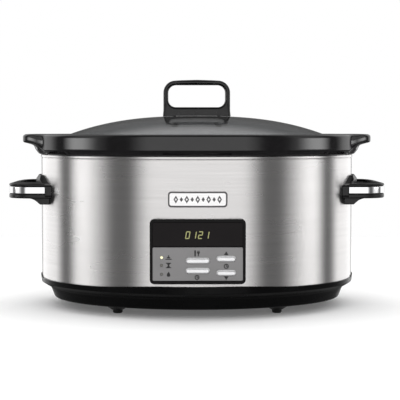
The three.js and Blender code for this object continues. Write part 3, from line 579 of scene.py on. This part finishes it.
def feet():
    height = BASE_LOW.z - CLEARANCE
    radius = FOOT_HIGH.x - (FOOT_LOW.x + FOOT_HIGH.x) / 2
    profile = rounded([(0, 0, 0), (2.6, 0, 0.4), (3.0, 0.35, 0.2), (3.4, 0, 0.4), (radius, 0, 1.8),
                       (radius, height, 0.3), (0, height, 0)])
    for name, (x, y) in zip(CORNERS, FOOT_PLACES):
        foot = turned("foot", profile, x, y)
        piece(foot, f"rubber_foot_{name}", "root", RUBBER, "rubber", f"foot_{name}")


def well_tub():
    top = WELL_HIGH.z
    flange = WELL_HIGH.x
    outside = rounded([(0, WELL_LOW.z, 0), (148, WELL_LOW.z, 6), (160, 51, 10), (162.5, 62, 6),
                       (170.5, top - 1, 0.6), (flange, top - 1, 0)], closed=False)
    inside = rounded([(0, WELL_LOW.z + 1, 0), (147, WELL_LOW.z + 1, 6), (159, 52, 10), (161.5, 62, 6),
                      (169.5, top, 1.2), (flange, top, 0)], closed=False)
    tub = oval_lathe("well", outside + inside[::-1])
    return piece(tub, "well_tub", "root", COATED, "coated_steel", "heating_well")


def gland():
    """Grommet that the mains cord would pass through, with a moulded collar."""
    out = GLAND_HIGH.y
    radius = GLAND_HIGH.x
    profile = rounded([
        (4, 0, 0.7), (6.2, 0, 0.5), (6.6, 0.8, 0.3), (7.4, 0.8, 0.3), (8, 0.2, 0.4), (radius, 0.2, 1.0),
        (radius, 3.4, 0.3), (6.7, 3.4, 0), (6.7, 10, 0.4), (4, 10, 0.3),
    ])
    ring = turned("gland", profile, steps=64)
    turn(ring, pi / 2, "X")
    shift(ring, 0, out, GLAND_Z)
    return piece(ring, "cable_gland", "root", BASE_PLASTIC, "black_plastic", "cord_gland")


CORNERS = ["front_left", "front_right", "rear_left", "rear_right"]
FOOT_X = (FOOT_LOW.x + FOOT_HIGH.x) / 2
FOOT_Y = -(FOOT_LOW.y + FOOT_HIGH.y) / 2
FOOT_PLACES = [(-FOOT_X, -FOOT_Y), (FOOT_X, -FOOT_Y), (-FOOT_X, FOOT_Y), (FOOT_X, FOOT_Y)]
GLAND_Z = (GLAND_LOW.z + GLAND_HIGH.z) / 2
BEZEL_OPENING_WIDTH = 84
BEZEL_OPENING_BOTTOM = 47
BEZEL_OPENING_TOP = 102


# ---------------------------------------------------------------- crock

EAR_CORNER = 36  # half-width of an ear's end face
EAR_ROOT = 60  # half-width where an ear runs out into the rim
RIM_R = 188


def ear_reach(y):
    """How far the plan of an ear reaches along X, at this distance from the middle."""
    away = abs(y)
    if away <= EAR_CORNER:
        return CROCK_HIGH.x - 1.2 * (away / EAR_CORNER) ** 2
    return CROCK_HIGH.x - 1.2 - 27.5 * ((away - EAR_CORNER) / (EAR_ROOT - EAR_CORNER)) ** 1.9


def ease_in(grow, width=0.1):
    """The value itself when positive and 0 when negative, with a smooth bend between."""
    if abs(grow) >= width:
        return max(grow, 0.0)
    return (grow + width) ** 2 / (4 * width)


def stoneware():
    """Bowl with a thick rim that grows into a hollowed shelf at each end."""
    top = CROCK_HIGH.z
    seat = GLASS_LOW.z - 0.4
    underside = 175.6
    tip = CROCK_HIGH.x
    rim_line = rounded([(170, underside, 0), (183.4, underside, 2.2), (RIM_R, 180.4, 2.6),
                        (RIM_R, top, 3.4), (178, top, 0)], closed=False)
    ear_line = rounded([(170, underside, 0), (183.4, underside, 2.2), (187.4, 180.4, 1.6), (189.6, 185.6, 4),
                        (tip - 5.5, 187.5, 5), (tip, 189.4, 1.8), (tip, top, 3.0), (178, top, 0)],
                       closed=False)
    count = 44
    rim = resample(rim_line, count)
    ear = resample(ear_line, count)
    below = rounded([(0, 48, 0), (141, 48, 5), (151, 50.4, 6), (156.8, 56.5, 7), (158.6, 66, 20),
                     (165.2, 172, 2.4), (170, underside, 0)], closed=False)[:-1]
    recess = 165.2
    bowl = rounded([(178, top, 0), (recess + 0.8, top, 1.6), (recess, seat, 1.2), (157.4, seat, 1.6),
                    (150.4, 68, 20), (147.4, 60, 8), (139, 56, 14), (0, 56, 0)], closed=False)[1:]
    loops = []
    for k in range(OVAL_STEPS):
        t = 2 * pi * k / OVAL_STEPS
        side = 1 if cos(t) > 0 else -1
        y = oval(RIM_R) * sin(t)
        grow = -1.0
        if abs(y) < EAR_ROOT + 4:
            grow = (ear_reach(y) - RIM_R * abs(cos(t))) / (CROCK_HIGH.x - RIM_R)
        grow = ease_in(grow)
        loop = [(r * cos(t), oval(r) * sin(t), z) for r, z in below]
        for (r, z), (ear_r, ear_z) in zip(rim, ear):
            x = r * cos(t) + side * (ear_r - r) * grow
            loop.append((x, oval(r) * sin(t), z + (ear_z - z) * min(grow, 1)))
        loop += [(r * cos(t), oval(r) * sin(t), z) for r, z in bowl]
        loops.append(loop)
    bowl_piece = loft("crock_mesh", loops, wrap=True)
    return piece(bowl_piece, "stoneware_crock", "crock", GLAZE, "black_glaze", "crock", sharp=50)


# ---------------------------------------------------------------- lid

GLASS_THICKNESS = 4.2
DOME_TOP = GLASS_HIGH.z
RIM_CROSSING = 148
DOME_RISE = DOME_TOP - CROCK_HIGH.z
LID_RATIO = GLASS_HIGH.y / GLASS_HIGH.x


def dome(r):
    """Height of the outside of the glass at half-length r."""
    return CROCK_HIGH.z + DOME_RISE * (1 - (r / RIM_CROSSING) ** 2.6)


def lid_oval(r):
    return r * LID_RATIO


def lid_dome():
    edge = GLASS_HIGH.x
    bottom = GLASS_LOW.z
    stations = [156.5 * (k / 36) ** 0.9 for k in range(37)]
    under = [(r, dome(r) - GLASS_THICKNESS) for r in stations]
    rim = rounded([(156.5, dome(156.5) - GLASS_THICKNESS, 0), (158.6, bottom, 1.2), (edge, bottom, 1.6),
                   (edge, dome(edge), 1.2), (156.5, dome(156.5), 0)], closed=False)[1:-1]
    over = [(r, dome(r)) for r in reversed(stations)]
    glass = oval_lathe("glass", under + rim + over, half_width=lid_oval, steps=224)
    holes = [slab([circle(2.6, x, 0)], 200, 230, "plan") for x in (-LID_SCREW_X, LID_SCREW_X)]
    cut(glass, *holes)
    return piece(glass, "glass_dome", "lid", GLASS, "lid_glass", "lid_glass", sharp=40)


LID_SCREW_X = (cad("lid_screw_right")[0].x + cad("lid_screw_right")[1].x) / 2


def lid_grip():
    """Loop handle with softly rounded bars, standing on two feet on the glass."""
    half = HANDLE_HIGH.x
    top = HANDLE_HIGH.z
    side = half - 0.8
    outline = rounded([
        (-half, 205, 0), (-half, 218, 20), (-side, 226, 30), (-side, top - 1.2, 14), (0, top + 0.9, 320),
        (side, top - 1.2, 14), (side, 226, 30), (half, 218, 20), (half, 205, 0),
    ])
    window = rectangle(66.6, 25.9, 9, 0, 242.5)
    depth = HANDLE_HIGH.y
    loop = slab([outline, window], -depth, depth, bevel=3.4, bevel_steps=5)
    under = [(r, dome(r) + CLEARANCE) for r in range(0, 80, 6)]
    cutter = oval_lathe("cutter", [(0, 190)] + [(78, 190)] + under[::-1], half_width=lid_oval, steps=96)
    cut(loop, cutter)
    return piece(loop, "loop_grip", "lid", HANDLE_PLASTIC, "black_plastic", "lid_handle")


def lid_fixings():
    """Rubber washers and dark screws that hold the loop from under the glass."""
    for side, sign in (("left", -1), ("right", 1)):
        low, high = cad(f"lid_washer_{side}")
        radius = (high.x - low.x) / 2
        x = sign * LID_SCREW_X
        washer = turned("washer", rounded([
            (2.2, low.z, 0.2), (radius, low.z, 0.5), (radius, high.z, 0.5), (2.2, high.z, 0.2)]), x)
        piece(washer, f"lid_seal_{side}", "lid", RUBBER, "rubber", f"lid_washer_{side}")
        low, high = cad(f"lid_screw_{side}")
        head = low.z + 2.4
        screw = turned("screw", rounded([
            (0, low.z, 0), (2.9, low.z, 0.9), (4, head, 0.4), (1.8, head, 0), (1.8, high.z - 1.8, 0),
            (0, high.z, 0)]), x)
        slot_cut = slab([rectangle(1.0, 5.4, 0.2, x, 0)], low.z - 1, low.z + 0.9, "plan")
        cross_cut = slab([rectangle(5.4, 1.0, 0.2, x, 0)], low.z - 1, low.z + 0.9, "plan")
        cut(screw, slot_cut, cross_cut)
        piece(screw, f"lid_fixing_{side}", "lid", BLACK_STEEL, "black_steel", f"lid_screw_{side}")


# ---------------------------------------------------------------- side grips

GRIP_HALF = CAP_HIGH.y
GRIP_TIP = CAP_HIGH.x
GRIP_CORNER = 28
GRIP_BOTTOM = GRIP_LOW.z + 7.6  # underside of the bar; the foot of the escutcheon reaches lower
HOLE_OUTER = 203
HOLE_HALF = 44


def grip_plan(inset):
    """Two arms and a bar with round corners, drawn `inset` inside the grip's edge."""
    tip, half, corner = GRIP_TIP - inset, GRIP_HALF - inset, GRIP_CORNER - inset
    return rounded([(150, -half, 0), (tip, -half, corner), (tip, half, corner), (150, half, 0)])


def finger_hole(grow=0.0):
    inner = 160
    width = HOLE_OUTER + grow - inner
    return rectangle(width, 2 * (HOLE_HALF + grow), 12 + grow, inner + width / 2, 0)


def wrap_block(extra, bottom=90, top=170):
    r = SHELL_R + CLEARANCE + extra
    return oval_lathe("block", [(0, bottom), (r, bottom), (r, top), (0, top)])


def grip_body():
    low, lip = GRIP_BOTTOM, TRIM_LOW.z - CLEARANCE
    base = slab([grip_plan(0)], low, lip, "plan", bevel=1.2)
    core = slab([grip_plan(1.8)], low + 1.6, CAP_LOW.z - CLEARANCE, "plan", bevel=0.4)
    join(base, core)
    cut(base, slab([finger_hole()], 100, 160, "plan"))
    foot = GRIP_LOW.z + 0.5
    web_line = rounded([(160, low + 3, 0), (160, foot, 0), (177.5, foot, 1.5), (184, low - 1.4, 14),
                        (192.5, low + 0.5, 0), (192.5, low + 3, 0)])
    for near, far in ((-56, -44.5), (44.5, 56)):
        join(base, slab([web_line], near, far, bevel=0.6))
    cut(base, wrap_block(0))
    return join(base, wall_plate())


def wall_plate():
    """Escutcheon on the wrap, with chamfered edges, between the two arms of a grip."""
    low, top = GRIP_LOW.z, GRIP_HIGH.z
    half = [(36, top, 3), (55, 142.5, 2), (62, 140.5, 3), (62, 127.5, 3), (56, 126, 2), (38, low, 3)]
    outline = rounded(half + [(-y, z, radius) for y, z, radius in reversed(half)])
    plate = slab([outline], 120, 210, "end")
    inner = SHELL_R + CLEARANCE
    outer = inner + 6
    profile = rounded([(inner, 100, 0), (outer - 3, 100, 0), (outer - 3, low, 0), (outer, low + 4, 2),
                       (outer, top - 4.4, 2), (outer - 3, top, 0), (outer - 3, 165, 0), (inner, 165, 0)])
    return combine(plate, [oval_lathe("ring", profile)], "INTERSECT")


def grip_cap():
    """Top of a grip; it slopes down towards its outer edge."""
    top = CAP_HIGH.z
    cap = slab([grip_plan(0)], CAP_LOW.z, top, "plan", bevel=1.7, bevel_steps=4)
    hole = slab([finger_hole()], 130, 150, "plan")
    cut(cap, hole, wrap_block(6 + CLEARANCE))

    def slope(p):
        outwards = max((abs(p.x) - HOLE_OUTER) / (GRIP_TIP - HOLE_OUTER),
                       (abs(p.y) - HOLE_HALF) / (GRIP_HALF - HOLE_HALF), 0)
        height = max(0, (p.z - CAP_LOW.z) / (top - CAP_LOW.z))
        return Vector((p.x, p.y, p.z - 1.7 * outwards * height))

    return reshape(cap, slope)


def grip_trim():
    """Bright strip round the edge of a grip, slightly crowned."""
    low, high = TRIM_LOW.z, TRIM_HIGH.z
    strip_plate = slab([grip_plan(0)], low, high, "plan", bevel=0.9, bevel_steps=4)
    inner = slab([grip_plan(1.5)], low - 1, high + 1, "plan")
    return cut(strip_plate, inner, wrap_block(6 + CLEARANCE))


def side_grips():
    parts = [
        (grip_body, "grip_loop", GRIP_PLASTIC, "black_plastic", "handle_body"),
        (grip_cap, "grip_top", GRIP_PLASTIC, "black_plastic", "handle_cap"),
        (grip_trim, "grip_strip", CHROME, "trim_chrome", "handle_trim"),
    ]
    for build, name, finish, slot, node in parts:
        right = build()
        left = half_turn(right)
        piece(right, f"{name}_right", "root", finish, slot, f"right_{node}")
        piece(left, f"{name}_left", "root", finish, slot, f"left_{node}")


# ---------------------------------------------------------------- control panel

FACE_Y = FASCIA_LOW.y  # front of the fascia and the window
BUTTONS = ["mode", "timer", "time_up", "time_down"]
LEDS = ["high", "low", "warm"]
INK_HEIGHT = 0.08


def middle(node):
    low, high = cad(node)
    return (low + high) / 2


def bezel():
    width = BEZEL_HIGH.x - BEZEL_LOW.x
    height = BEZEL_HIGH.z - BEZEL_LOW.z
    centre = (BEZEL_HIGH.z + BEZEL_LOW.z) / 2
    front, back = BEZEL_LOW.y, BEZEL_HIGH.y
    frame_block = slab([rectangle(width, height, 5, 0, centre)], front, back, bevel=0.9)
    cut(frame_block, wrap_block(0, 20, 130))
    opening_height = BEZEL_OPENING_TOP - BEZEL_OPENING_BOTTOM
    opening_centre = (BEZEL_OPENING_TOP + BEZEL_OPENING_BOTTOM) / 2
    skirt = slab([rectangle(BEZEL_OPENING_WIDTH + 3.2, opening_height + 3.2, 3.6, 0, opening_centre)],
                 front + 3, back)
    join(frame_block, skirt)
    pocket = slab([rectangle(FASCIA_HIGH.x * 2 + 0.8, WINDOW_HIGH.z - FASCIA_LOW.z + 0.8, 2.4, 0,
                             (WINDOW_HIGH.z + FASCIA_LOW.z) / 2)], front - 1, FASCIA_HIGH.y + CLEARANCE)
    opening = slab([rectangle(BEZEL_OPENING_WIDTH, opening_height, 2, 0, opening_centre)],
                   front - 1, back + 1)
    cut(frame_block, pocket, opening)
    bar = slab([rectangle(BEZEL_OPENING_WIDTH + 1, 3.2, 0.2, 0, (FASCIA_HIGH.z + WINDOW_LOW.z) / 2)],
               FASCIA_HIGH.y + CLEARANCE, -140)
    join(frame_block, bar)
    piece(frame_block, "panel_bezel", "root", PANEL_PLASTIC, "black_plastic", "control_bezel")


def face_plates():
    width = FASCIA_HIGH.x * 2
    height = WINDOW_HIGH.z - WINDOW_LOW.z
    pane = slab([rectangle(width, height, 2, 0, (WINDOW_HIGH.z + WINDOW_LOW.z) / 2)],
                FACE_Y, WINDOW_HIGH.y, bevel=0.35)
    piece(pane, "display_pane", "root", WINDOW, "smoked_window", "display_window")
    outlines = [rectangle(width, FASCIA_HIGH.z - FASCIA_LOW.z, 1.4, 0, (FASCIA_HIGH.z + FASCIA_LOW.z) / 2)]
    for name in BUTTONS:
        low, high = button_cap(name)
        slot_height = high.z - low.z + 2.6
        outlines.append(rectangle(high.x - low.x + 2.2, slot_height, slot_height / 2 - 0.05,
                                  (low.x + high.x) / 2, (low.z + high.z) / 2 + 0.45))
    for name in LEDS:
        centre = middle(f"{name}_led")
        outlines.append(circle(1.55, centre.x, centre.z, 32))
    plate = slab(outlines, FACE_Y, FASCIA_HIGH.y, bevel=0.22, bevel_steps=2)
    piece(plate, "fascia_plate", "root", FASCIA, "fascia_grey", "control_fascia")


def button_cap(name):
    """Box of the part of a button that shows: the CAD node's box less its hidden flange."""
    low, high = cad(f"{name}_button")
    flange = Vector((1.9, 0, 1.8))
    return low + flange, high - flange


def buttons():
    flange_front = FASCIA_HIGH.y + CLEARANCE
    for name in BUTTONS:
        low, high = button_cap(name)
        stem_end = cad(f"{name}_button")[1].y
        x, z = (low.x + high.x) / 2, (low.z + high.z) / 2
        width, height = high.x - low.x, high.z - low.z
        cap = slab([rectangle(width, height, height / 2 - 0.05, x, z)], low.y, flange_front + 0.6,
                   bevel=0.8, bevel_steps=4)
        flange = slab([rectangle(width + 3.8, height + 3.6, 1.5, x, z)], flange_front, flange_front + 1.2)
        stem = slab([circle(2, x, z)], flange_front + 0.5, stem_end)
        join(cap, flange, stem)
        piece(cap, f"{name}_key_cap", f"{name}_key", SILVER, "button_silver", f"{name}_button")


def lamps():
    for name in LEDS:
        centre = middle(f"{name}_led")
        low, high = cad(f"{name}_led")
        length = high.y - low.y
        profile = rounded([(0, 0, 0), (1.5, 0, 0.1), (1.5, length - 4.4, 0.1), (1.3, length - 4.3, 0),
                           (1.3, length, 0.9), (0, length, 0)])
        lens = turned("lens", profile, steps=32)
        turn(lens, pi / 2, "X")
        shift(lens, centre.x, high.y, centre.z)
        lit = name == "high"
        piece(lens, f"{name}_lamp", "root", LENS_LIT if lit else LENS, "led_lit" if lit else "led_lens",
              f"{name}_led")


def ink(outlines, y=None):
    """Printed or etched mark on the face of the panel."""
    front = FACE_Y if y is None else y
    return slab(outlines, front - INK_HEIGHT, front + 0.1)


def ring(x, z, radius, line):
    return [circle(radius, x, z), circle(radius - line, x, z)]


def triangle(x, z, size, up):
    h = size if up else -size
    return [rounded([(x - size, z - h * 0.8, 0.2), (x + size, z - h * 0.8, 0.2), (x, z + h * 0.8, 0.2)])]


def bar_between(x0, z0, x1, z1, width):
    """Straight bar with round ends, as an outline."""
    along = Vector((x1 - x0, z1 - z0)).normalized() * width / 2
    side = Vector((-along.y, along.x))
    a, b = Vector((x0, z0)), Vector((x1, z1))
    corners = [a - along + side, a - along - side, b + along - side, b + along + side]
    return [rounded([(c.x, c.y, width * 0.45) for c in corners])]


def clock_icon(x, z, radius):
    return [ring(x, z, radius, 1.05), bar_between(x, z, x, z + radius * 0.5, 0.75),
            bar_between(x, z, x + radius * 0.45, z - radius * 0.15, 0.75)]


def flame_icon(x, z, size):
    return [[rounded([(x, z - size, 0.9 * size), (x + size * 0.75, z - size * 0.6, 0.5 * size),
                      (x + size * 0.5, z + size * 0.2, 0.4 * size), (x + size * 0.1, z + size, 0.05),
                      (x - size * 0.5, z + size * 0.3, 0.4 * size),
                      (x - size * 0.75, z - size * 0.6, 0.5 * size)])]]


def dish_icon(x, z):
    """Covered dish: a base line, a dome and its knob."""
    dome_line = [(x + 1.9 * cos(pi * k / 14), z - 0.7 + 1.7 * sin(pi * k / 14)) for k in range(15)]
    return [bar_between(x - 3, z - 1.7, x + 3, z - 1.7, 0.9), [dome_line], [circle(0.7, x, z + 1.9)]]


def crossed_icon(x, z):
    """Hourglass: two bars and two bulbs that meet."""
    glass = [(x - 1.9, z + 2.2), (x + 1.9, z + 2.2), (x + 0.6, z), (x + 1.9, z - 2.2),
             (x - 1.9, z - 2.2), (x - 0.6, z)]
    return [[glass], bar_between(x - 2.4, z + 2.4, x + 2.4, z + 2.4, 0.9),
            bar_between(x - 2.4, z - 2.4, x + 2.4, z - 2.4, 0.9)]


def cutlery_icon(x, z):
    """Knife and fork."""
    tines = [bar_between(x + 0.6 + k, z + 0.6, x + 0.6 + k, z + 2.6, 0.6) for k in range(3)]
    return [bar_between(x - 1.8, z - 2.6, x - 1.8, z + 2.5, 1.6), *tines,
            bar_between(x + 0.5, z + 0.4, x + 2.7, z + 0.4, 1.1),
            bar_between(x + 1.6, z - 2.6, x + 1.6, z + 0.5, 1.1)]


def panel_icons():
    marks = []
    lamp_icons_x = middle("high_led").x + 7.4
    marks += dish_icon(lamp_icons_x, middle("high_led").z)
    marks += crossed_icon(lamp_icons_x, middle("low_led").z)
    marks += flame_icon(lamp_icons_x, middle("warm_led").z, 2.9)
    mode, timer = middle("mode_button"), middle("timer_button")
    marks += cutlery_icon(mode.x - 1, mode.z + 8.4)
    marks += clock_icon(timer.x - 0.8, timer.z - 6.6, 2.6)
    up, down = middle("time_up_button"), middle("time_down_button")
    marks.append(triangle(up.x, up.z + 6.4, 2.5, True))
    marks.append(triangle(down.x, down.z - 5.1, 2.5, False))
    marks += clock_icon(up.x, (up.z + down.z) / 2, 2.7)
    icons = gather([ink(outlines) for outlines in marks])
    piece(icons, "panel_icons", "root", ICON_INK, "switch_black")


SEGMENTS = {"0": "abcdef", "1": "bc", "2": "abged"}
DIGIT_WIDTH = 4.7
DIGIT_HEIGHT = 8.1
DIGIT_PITCH = 6.75
DIGIT_LINE = 1.0
DIGIT_SLANT = 0.16


def segment_outline(letter, x, z):
    """One stroke of a seven-segment digit whose lower left corner is at (x, z)."""
    w, h, half = DIGIT_WIDTH, DIGIT_HEIGHT, DIGIT_LINE / 2
    rows = {"a": h - half, "g": h / 2, "d": half}
    if letter in rows:
        ends = ((half * 1.6, rows[letter]), (w - half * 1.6, rows[letter]))
    else:
        column = w - half if letter in "bc" else half
        low, high = (h / 2, h - half) if letter in "bf" else (half, h / 2)
        ends = ((column, low + half * 0.9), (column, high - half * 0.9))
    (x0, z0), (x1, z1) = ends
    outline = bar_between(x0, z0, x1, z1, DIGIT_LINE)[0]
    return [(x + px + pz * DIGIT_SLANT, z + pz) for px, pz in outline]


def display_digits():
    centre = middle("display_module")
    start = -13.6
    strokes = []
    for i, digit in enumerate("0121"):
        for letter in SEGMENTS[digit]:
            outline = segment_outline(letter, start + i * DIGIT_PITCH, centre.z + 0.4 - DIGIT_HEIGHT / 2)
            strokes.append(ink([outline]))
    piece(gather(strokes), "clock_digits", "root", DIGITS, "led_lit")


def bend_round_wrap(thing, r):
    """Wraps a flat plate that was drawn at Y = 0 onto the oval with half-length r."""
    slice_along_x(thing, 3)
    return reshape(thing, lambda p: Vector((p.x, p.y - on_wrap(r, p.x), p.z)))


LOZENGES = 9  # large open ones and small solid ones by turns
LOZENGE_PITCH = 5.8
LOZENGE_LINE = 1.5  # width of the line of an open one at its sides, and at its tips
LOZENGE_LINE_TALL = 2.7


def lozenge(x, z, half_width, half_height):
    """Outline of a lozenge; a negative half-width draws it the other way round, as for a hole."""
    return [(x, z + half_height), (x - half_width, z), (x, z - half_height), (x + half_width, z)]


def badge():
    """Plain name plate without a name: a pale face in a dark rim, with a row of lozenges."""
    width = BADGE_HIGH.x * 2
    height = BADGE_HIGH.z - BADGE_LOW.z
    centre = (BADGE_HIGH.z + BADGE_LOW.z) / 2
    back = SHELL_R + CLEARANCE
    edge = slab([rectangle(width, height, 3.4, 0, centre)], -1.2, 0, bevel=0.35)
    bend_round_wrap(edge, back)
    piece(edge, "badge_rim", "root", BADGE_INK, "badge_white", "badge_plate")
    face = slab([rectangle(width - 3.4, height - 3.4, 2.2, 0, centre)], -1.4, -0.8, bevel=0.15)
    bend_round_wrap(face, back)
    piece(face, "badge_face_plate", "root", BADGE_FACE, "badge_white")
    marks = []
    for k in range(LOZENGES):
        x = (k - (LOZENGES - 1) / 2) * LOZENGE_PITCH
        if k % 2 == 0:
            hole = lozenge(x, centre, LOZENGE_LINE - 2.5, 4.2 - LOZENGE_LINE_TALL)
            outlines = [lozenge(x, centre, 2.5, 4.2), hole]
        else:
            outlines = [lozenge(x, centre, 1.8, 2.6)]
        marks.append(slab(outlines, -1.48, -1.3))
    motif = bend_round_wrap(gather(marks), back)
    piece(motif, "badge_motif", "root", BADGE_INK, "badge_white")


# ---------------------------------------------------------------- carried-over CAD nodes

def dress_cad_nodes():
    """Pieces that keep their CAD shape get a finish of their own."""
    finishes = {
        COATED: ["bottom_plate"],
        FOIL: ["heater_band"],
        ZINC: ["temperature_sensor", "thermal_fuse", "tie_bridge_left", "tie_bridge_right",
               *[f"base_screw_{c}" for c in CORNERS],
               *[f"handle_screw_{a}_{b}" for a in ("right", "left") for b in ("front", "rear")]],
        RIBBON: ["ribbon_cable"],
        BOARD: ["power_board", "control_board"],
        RELAY: ["power_relay"],
        SWITCH: ["display_module", *[f"{name}_switch" for name in BUTTONS]],
    }
    for finish, names in finishes.items():
        for name in names:
            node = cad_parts[name]
            node.data.materials.clear()
            node.data.materials.append(finish)
            node.data.shade_smooth()
            node.data.set_sharp_from_angle(angle=radians(35))


# ---------------------------------------------------------------- studio

# Soft boxes stand round the cooker, the same on both sides. Azimuth 0 is towards the camera.
# Each has the azimuth of its middle, its half-width, and its brightness.
SOFT_BOXES = {
    "front screen": (radians(0), radians(35), 1.4),
    "side box": (radians(75), radians(15), 0.9),
    "rear box": (radians(135), radians(25), 1.3),
}
STRIP_LIGHT = (radians(80), radians(10), 5.0)  # at eye level, in front of each side box
GAP_BRIGHTNESS = 0.15  # between the boxes
SOFT_EDGE = radians(8)
EYE_LEVEL = radians(1.6)  # half-height of the strip light
EYE_LEVEL_FADE = radians(2.6)
CEILING_FRONT = 0.04  # overhead, only the rear is bright
CEILING_REAR = 0.9
CEILING_TURN = (radians(60), radians(120))
CEILING_START = radians(28)
CEILING_FULL = radians(48)
FILL_WATTS = 42
SHADE = 0.12  # what reflections find below the boxes
SHADE_START = radians(-10)
SHADE_FULL = radians(-16)


def world_math(tree, operation, *values):
    node = tree.nodes.new("ShaderNodeMath")
    node.operation = operation
    for socket, value in zip(node.inputs, values):
        if isinstance(value, bpy.types.NodeSocket):
            tree.links.new(value, socket)
        else:
            socket.default_value = value
    return node.outputs[0]


def window(tree, aside, middle_azimuth, half_width):
    """1 inside a soft box and 0 outside, with a soft edge; `aside` is the azimuth without its sign."""
    away = world_math(tree, "ABSOLUTE", world_math(tree, "SUBTRACT", aside, middle_azimuth))
    return smooth(tree, away, half_width + SOFT_EDGE, half_width - SOFT_EDGE)


def smooth(tree, value, start, end):
    node = tree.nodes.new("ShaderNodeMapRange")
    node.interpolation_type = "SMOOTHSTEP"
    node.inputs["From Min"].default_value = start
    node.inputs["From Max"].default_value = end
    tree.links.new(value, node.inputs["Value"])
    return node.outputs["Result"]


def lerp(tree, share, a, b):
    away = world_math(tree, "SUBTRACT", b, a)
    return world_math(tree, "MULTIPLY_ADD", away, share, a)


def studio_light():
    world = bpy.data.worlds.new("studio")
    SCENE.world = world
    world.use_nodes = True
    tree = world.node_tree
    direction = tree.nodes.new("ShaderNodeTexCoord").outputs["Generated"]
    parts = tree.nodes.new("ShaderNodeSeparateXYZ")
    tree.links.new(direction, parts.inputs[0])
    x, y, z = parts.outputs
    azimuth = world_math(tree, "ARCTAN2", x, world_math(tree, "MULTIPLY", y, -1))
    aside = world_math(tree, "ABSOLUTE", azimuth)
    height = world_math(tree, "ARCSINE", z)
    light = GAP_BRIGHTNESS
    for where, half_width, brightness in SOFT_BOXES.values():
        light = lerp(tree, window(tree, aside, where, half_width), light, brightness)
    where, half_width, brightness = STRIP_LIGHT
    level = smooth(tree, world_math(tree, "ABSOLUTE", height), EYE_LEVEL_FADE, EYE_LEVEL)
    strip = world_math(tree, "MULTIPLY", window(tree, aside, where, half_width), level)
    light = lerp(tree, strip, light, brightness)
    ceiling = lerp(tree, smooth(tree, aside, *CEILING_TURN), CEILING_FRONT, CEILING_REAR)
    light = lerp(tree, smooth(tree, height, CEILING_START, CEILING_FULL), light, ceiling)
    underfoot = smooth(tree, height, SHADE_START, SHADE_FULL)
    light = lerp(tree, underfoot, light, SHADE)
    seen = tree.nodes.new("ShaderNodeLightPath").outputs["Is Camera Ray"]
    strength = lerp(tree, seen, light, 1.0)
    tree.links.new(strength, tree.nodes["Background"].inputs["Strength"])
    tree.nodes["Background"].inputs["Color"].default_value = (1, 1, 1, 1)


def studio_fill():
    """Wide soft light above; it brightens the scene and leaves reflections alone."""
    data = bpy.data.lights.new("fill", "AREA")
    data.shape = "RECTANGLE"
    data.size = 3
    data.size_y = 3
    data.energy = FILL_WATTS
    lamp = bpy.data.objects.new("fill", data)
    lamp.location = (0, -0.6, 1.9)
    lamp.rotation_euler = (radians(-12), 0, 0)
    lamp.visible_glossy = False
    lamp.visible_camera = False
    SCENE.collection.objects.link(lamp)


def studio_floor():
    """Pale floor that the cooker stands on; it glows faintly, and mirrors don't see it."""
    half = 900
    floor = solid("studio_floor", [(-half, -half, 0), (half, -half, 0), (half, half, 0), (-half, half, 0)],
                  [(0, 1, 2, 3)])
    paper = material("studio_paper", (0.9, 0.9, 0.9), 0.9, (BROAD, 0.003, 0.02, 0.0),
                     Specular_IOR_Level=0.0)
    floor.data.materials.append(glowing(paper, (1, 1, 1), 0.11))
    floor.visible_glossy = False


CAMERA_PLACE = (-11, -1494, 205.4)
CAMERA_LENS = 114.6
CAMERA_HEADING = radians(0.5695)  # to the right of straight ahead
CAMERA_PITCH = radians(3.237)  # downwards


def studio_camera():
    """Camera a little above the rim, in front of the cooker, as far away as the picture's view needs."""
    data = bpy.data.cameras.new("camera")
    data.lens = CAMERA_LENS
    data.sensor_width = 36
    data.clip_end = 20
    camera = bpy.data.objects.new("camera", data)
    SCENE.collection.objects.link(camera)
    camera.location = Vector(CAMERA_PLACE) * MM
    camera.rotation_euler = (pi / 2 - CAMERA_PITCH, 0, -CAMERA_HEADING)
    SCENE.camera = camera


# ---------------------------------------------------------------- assembly

studio_camera()
studio_light()
studio_fill()
studio_floor()
SCENE.view_settings.view_transform = "Standard"

steel_wrap()
base_tub()
feet()
well_tub()
gland()
stoneware()
lid_dome()
lid_grip()
lid_fixings()
side_grips()
bezel()
face_plates()
buttons()
lamps()
panel_icons()
display_digits()
badge()
dress_cad_nodes()
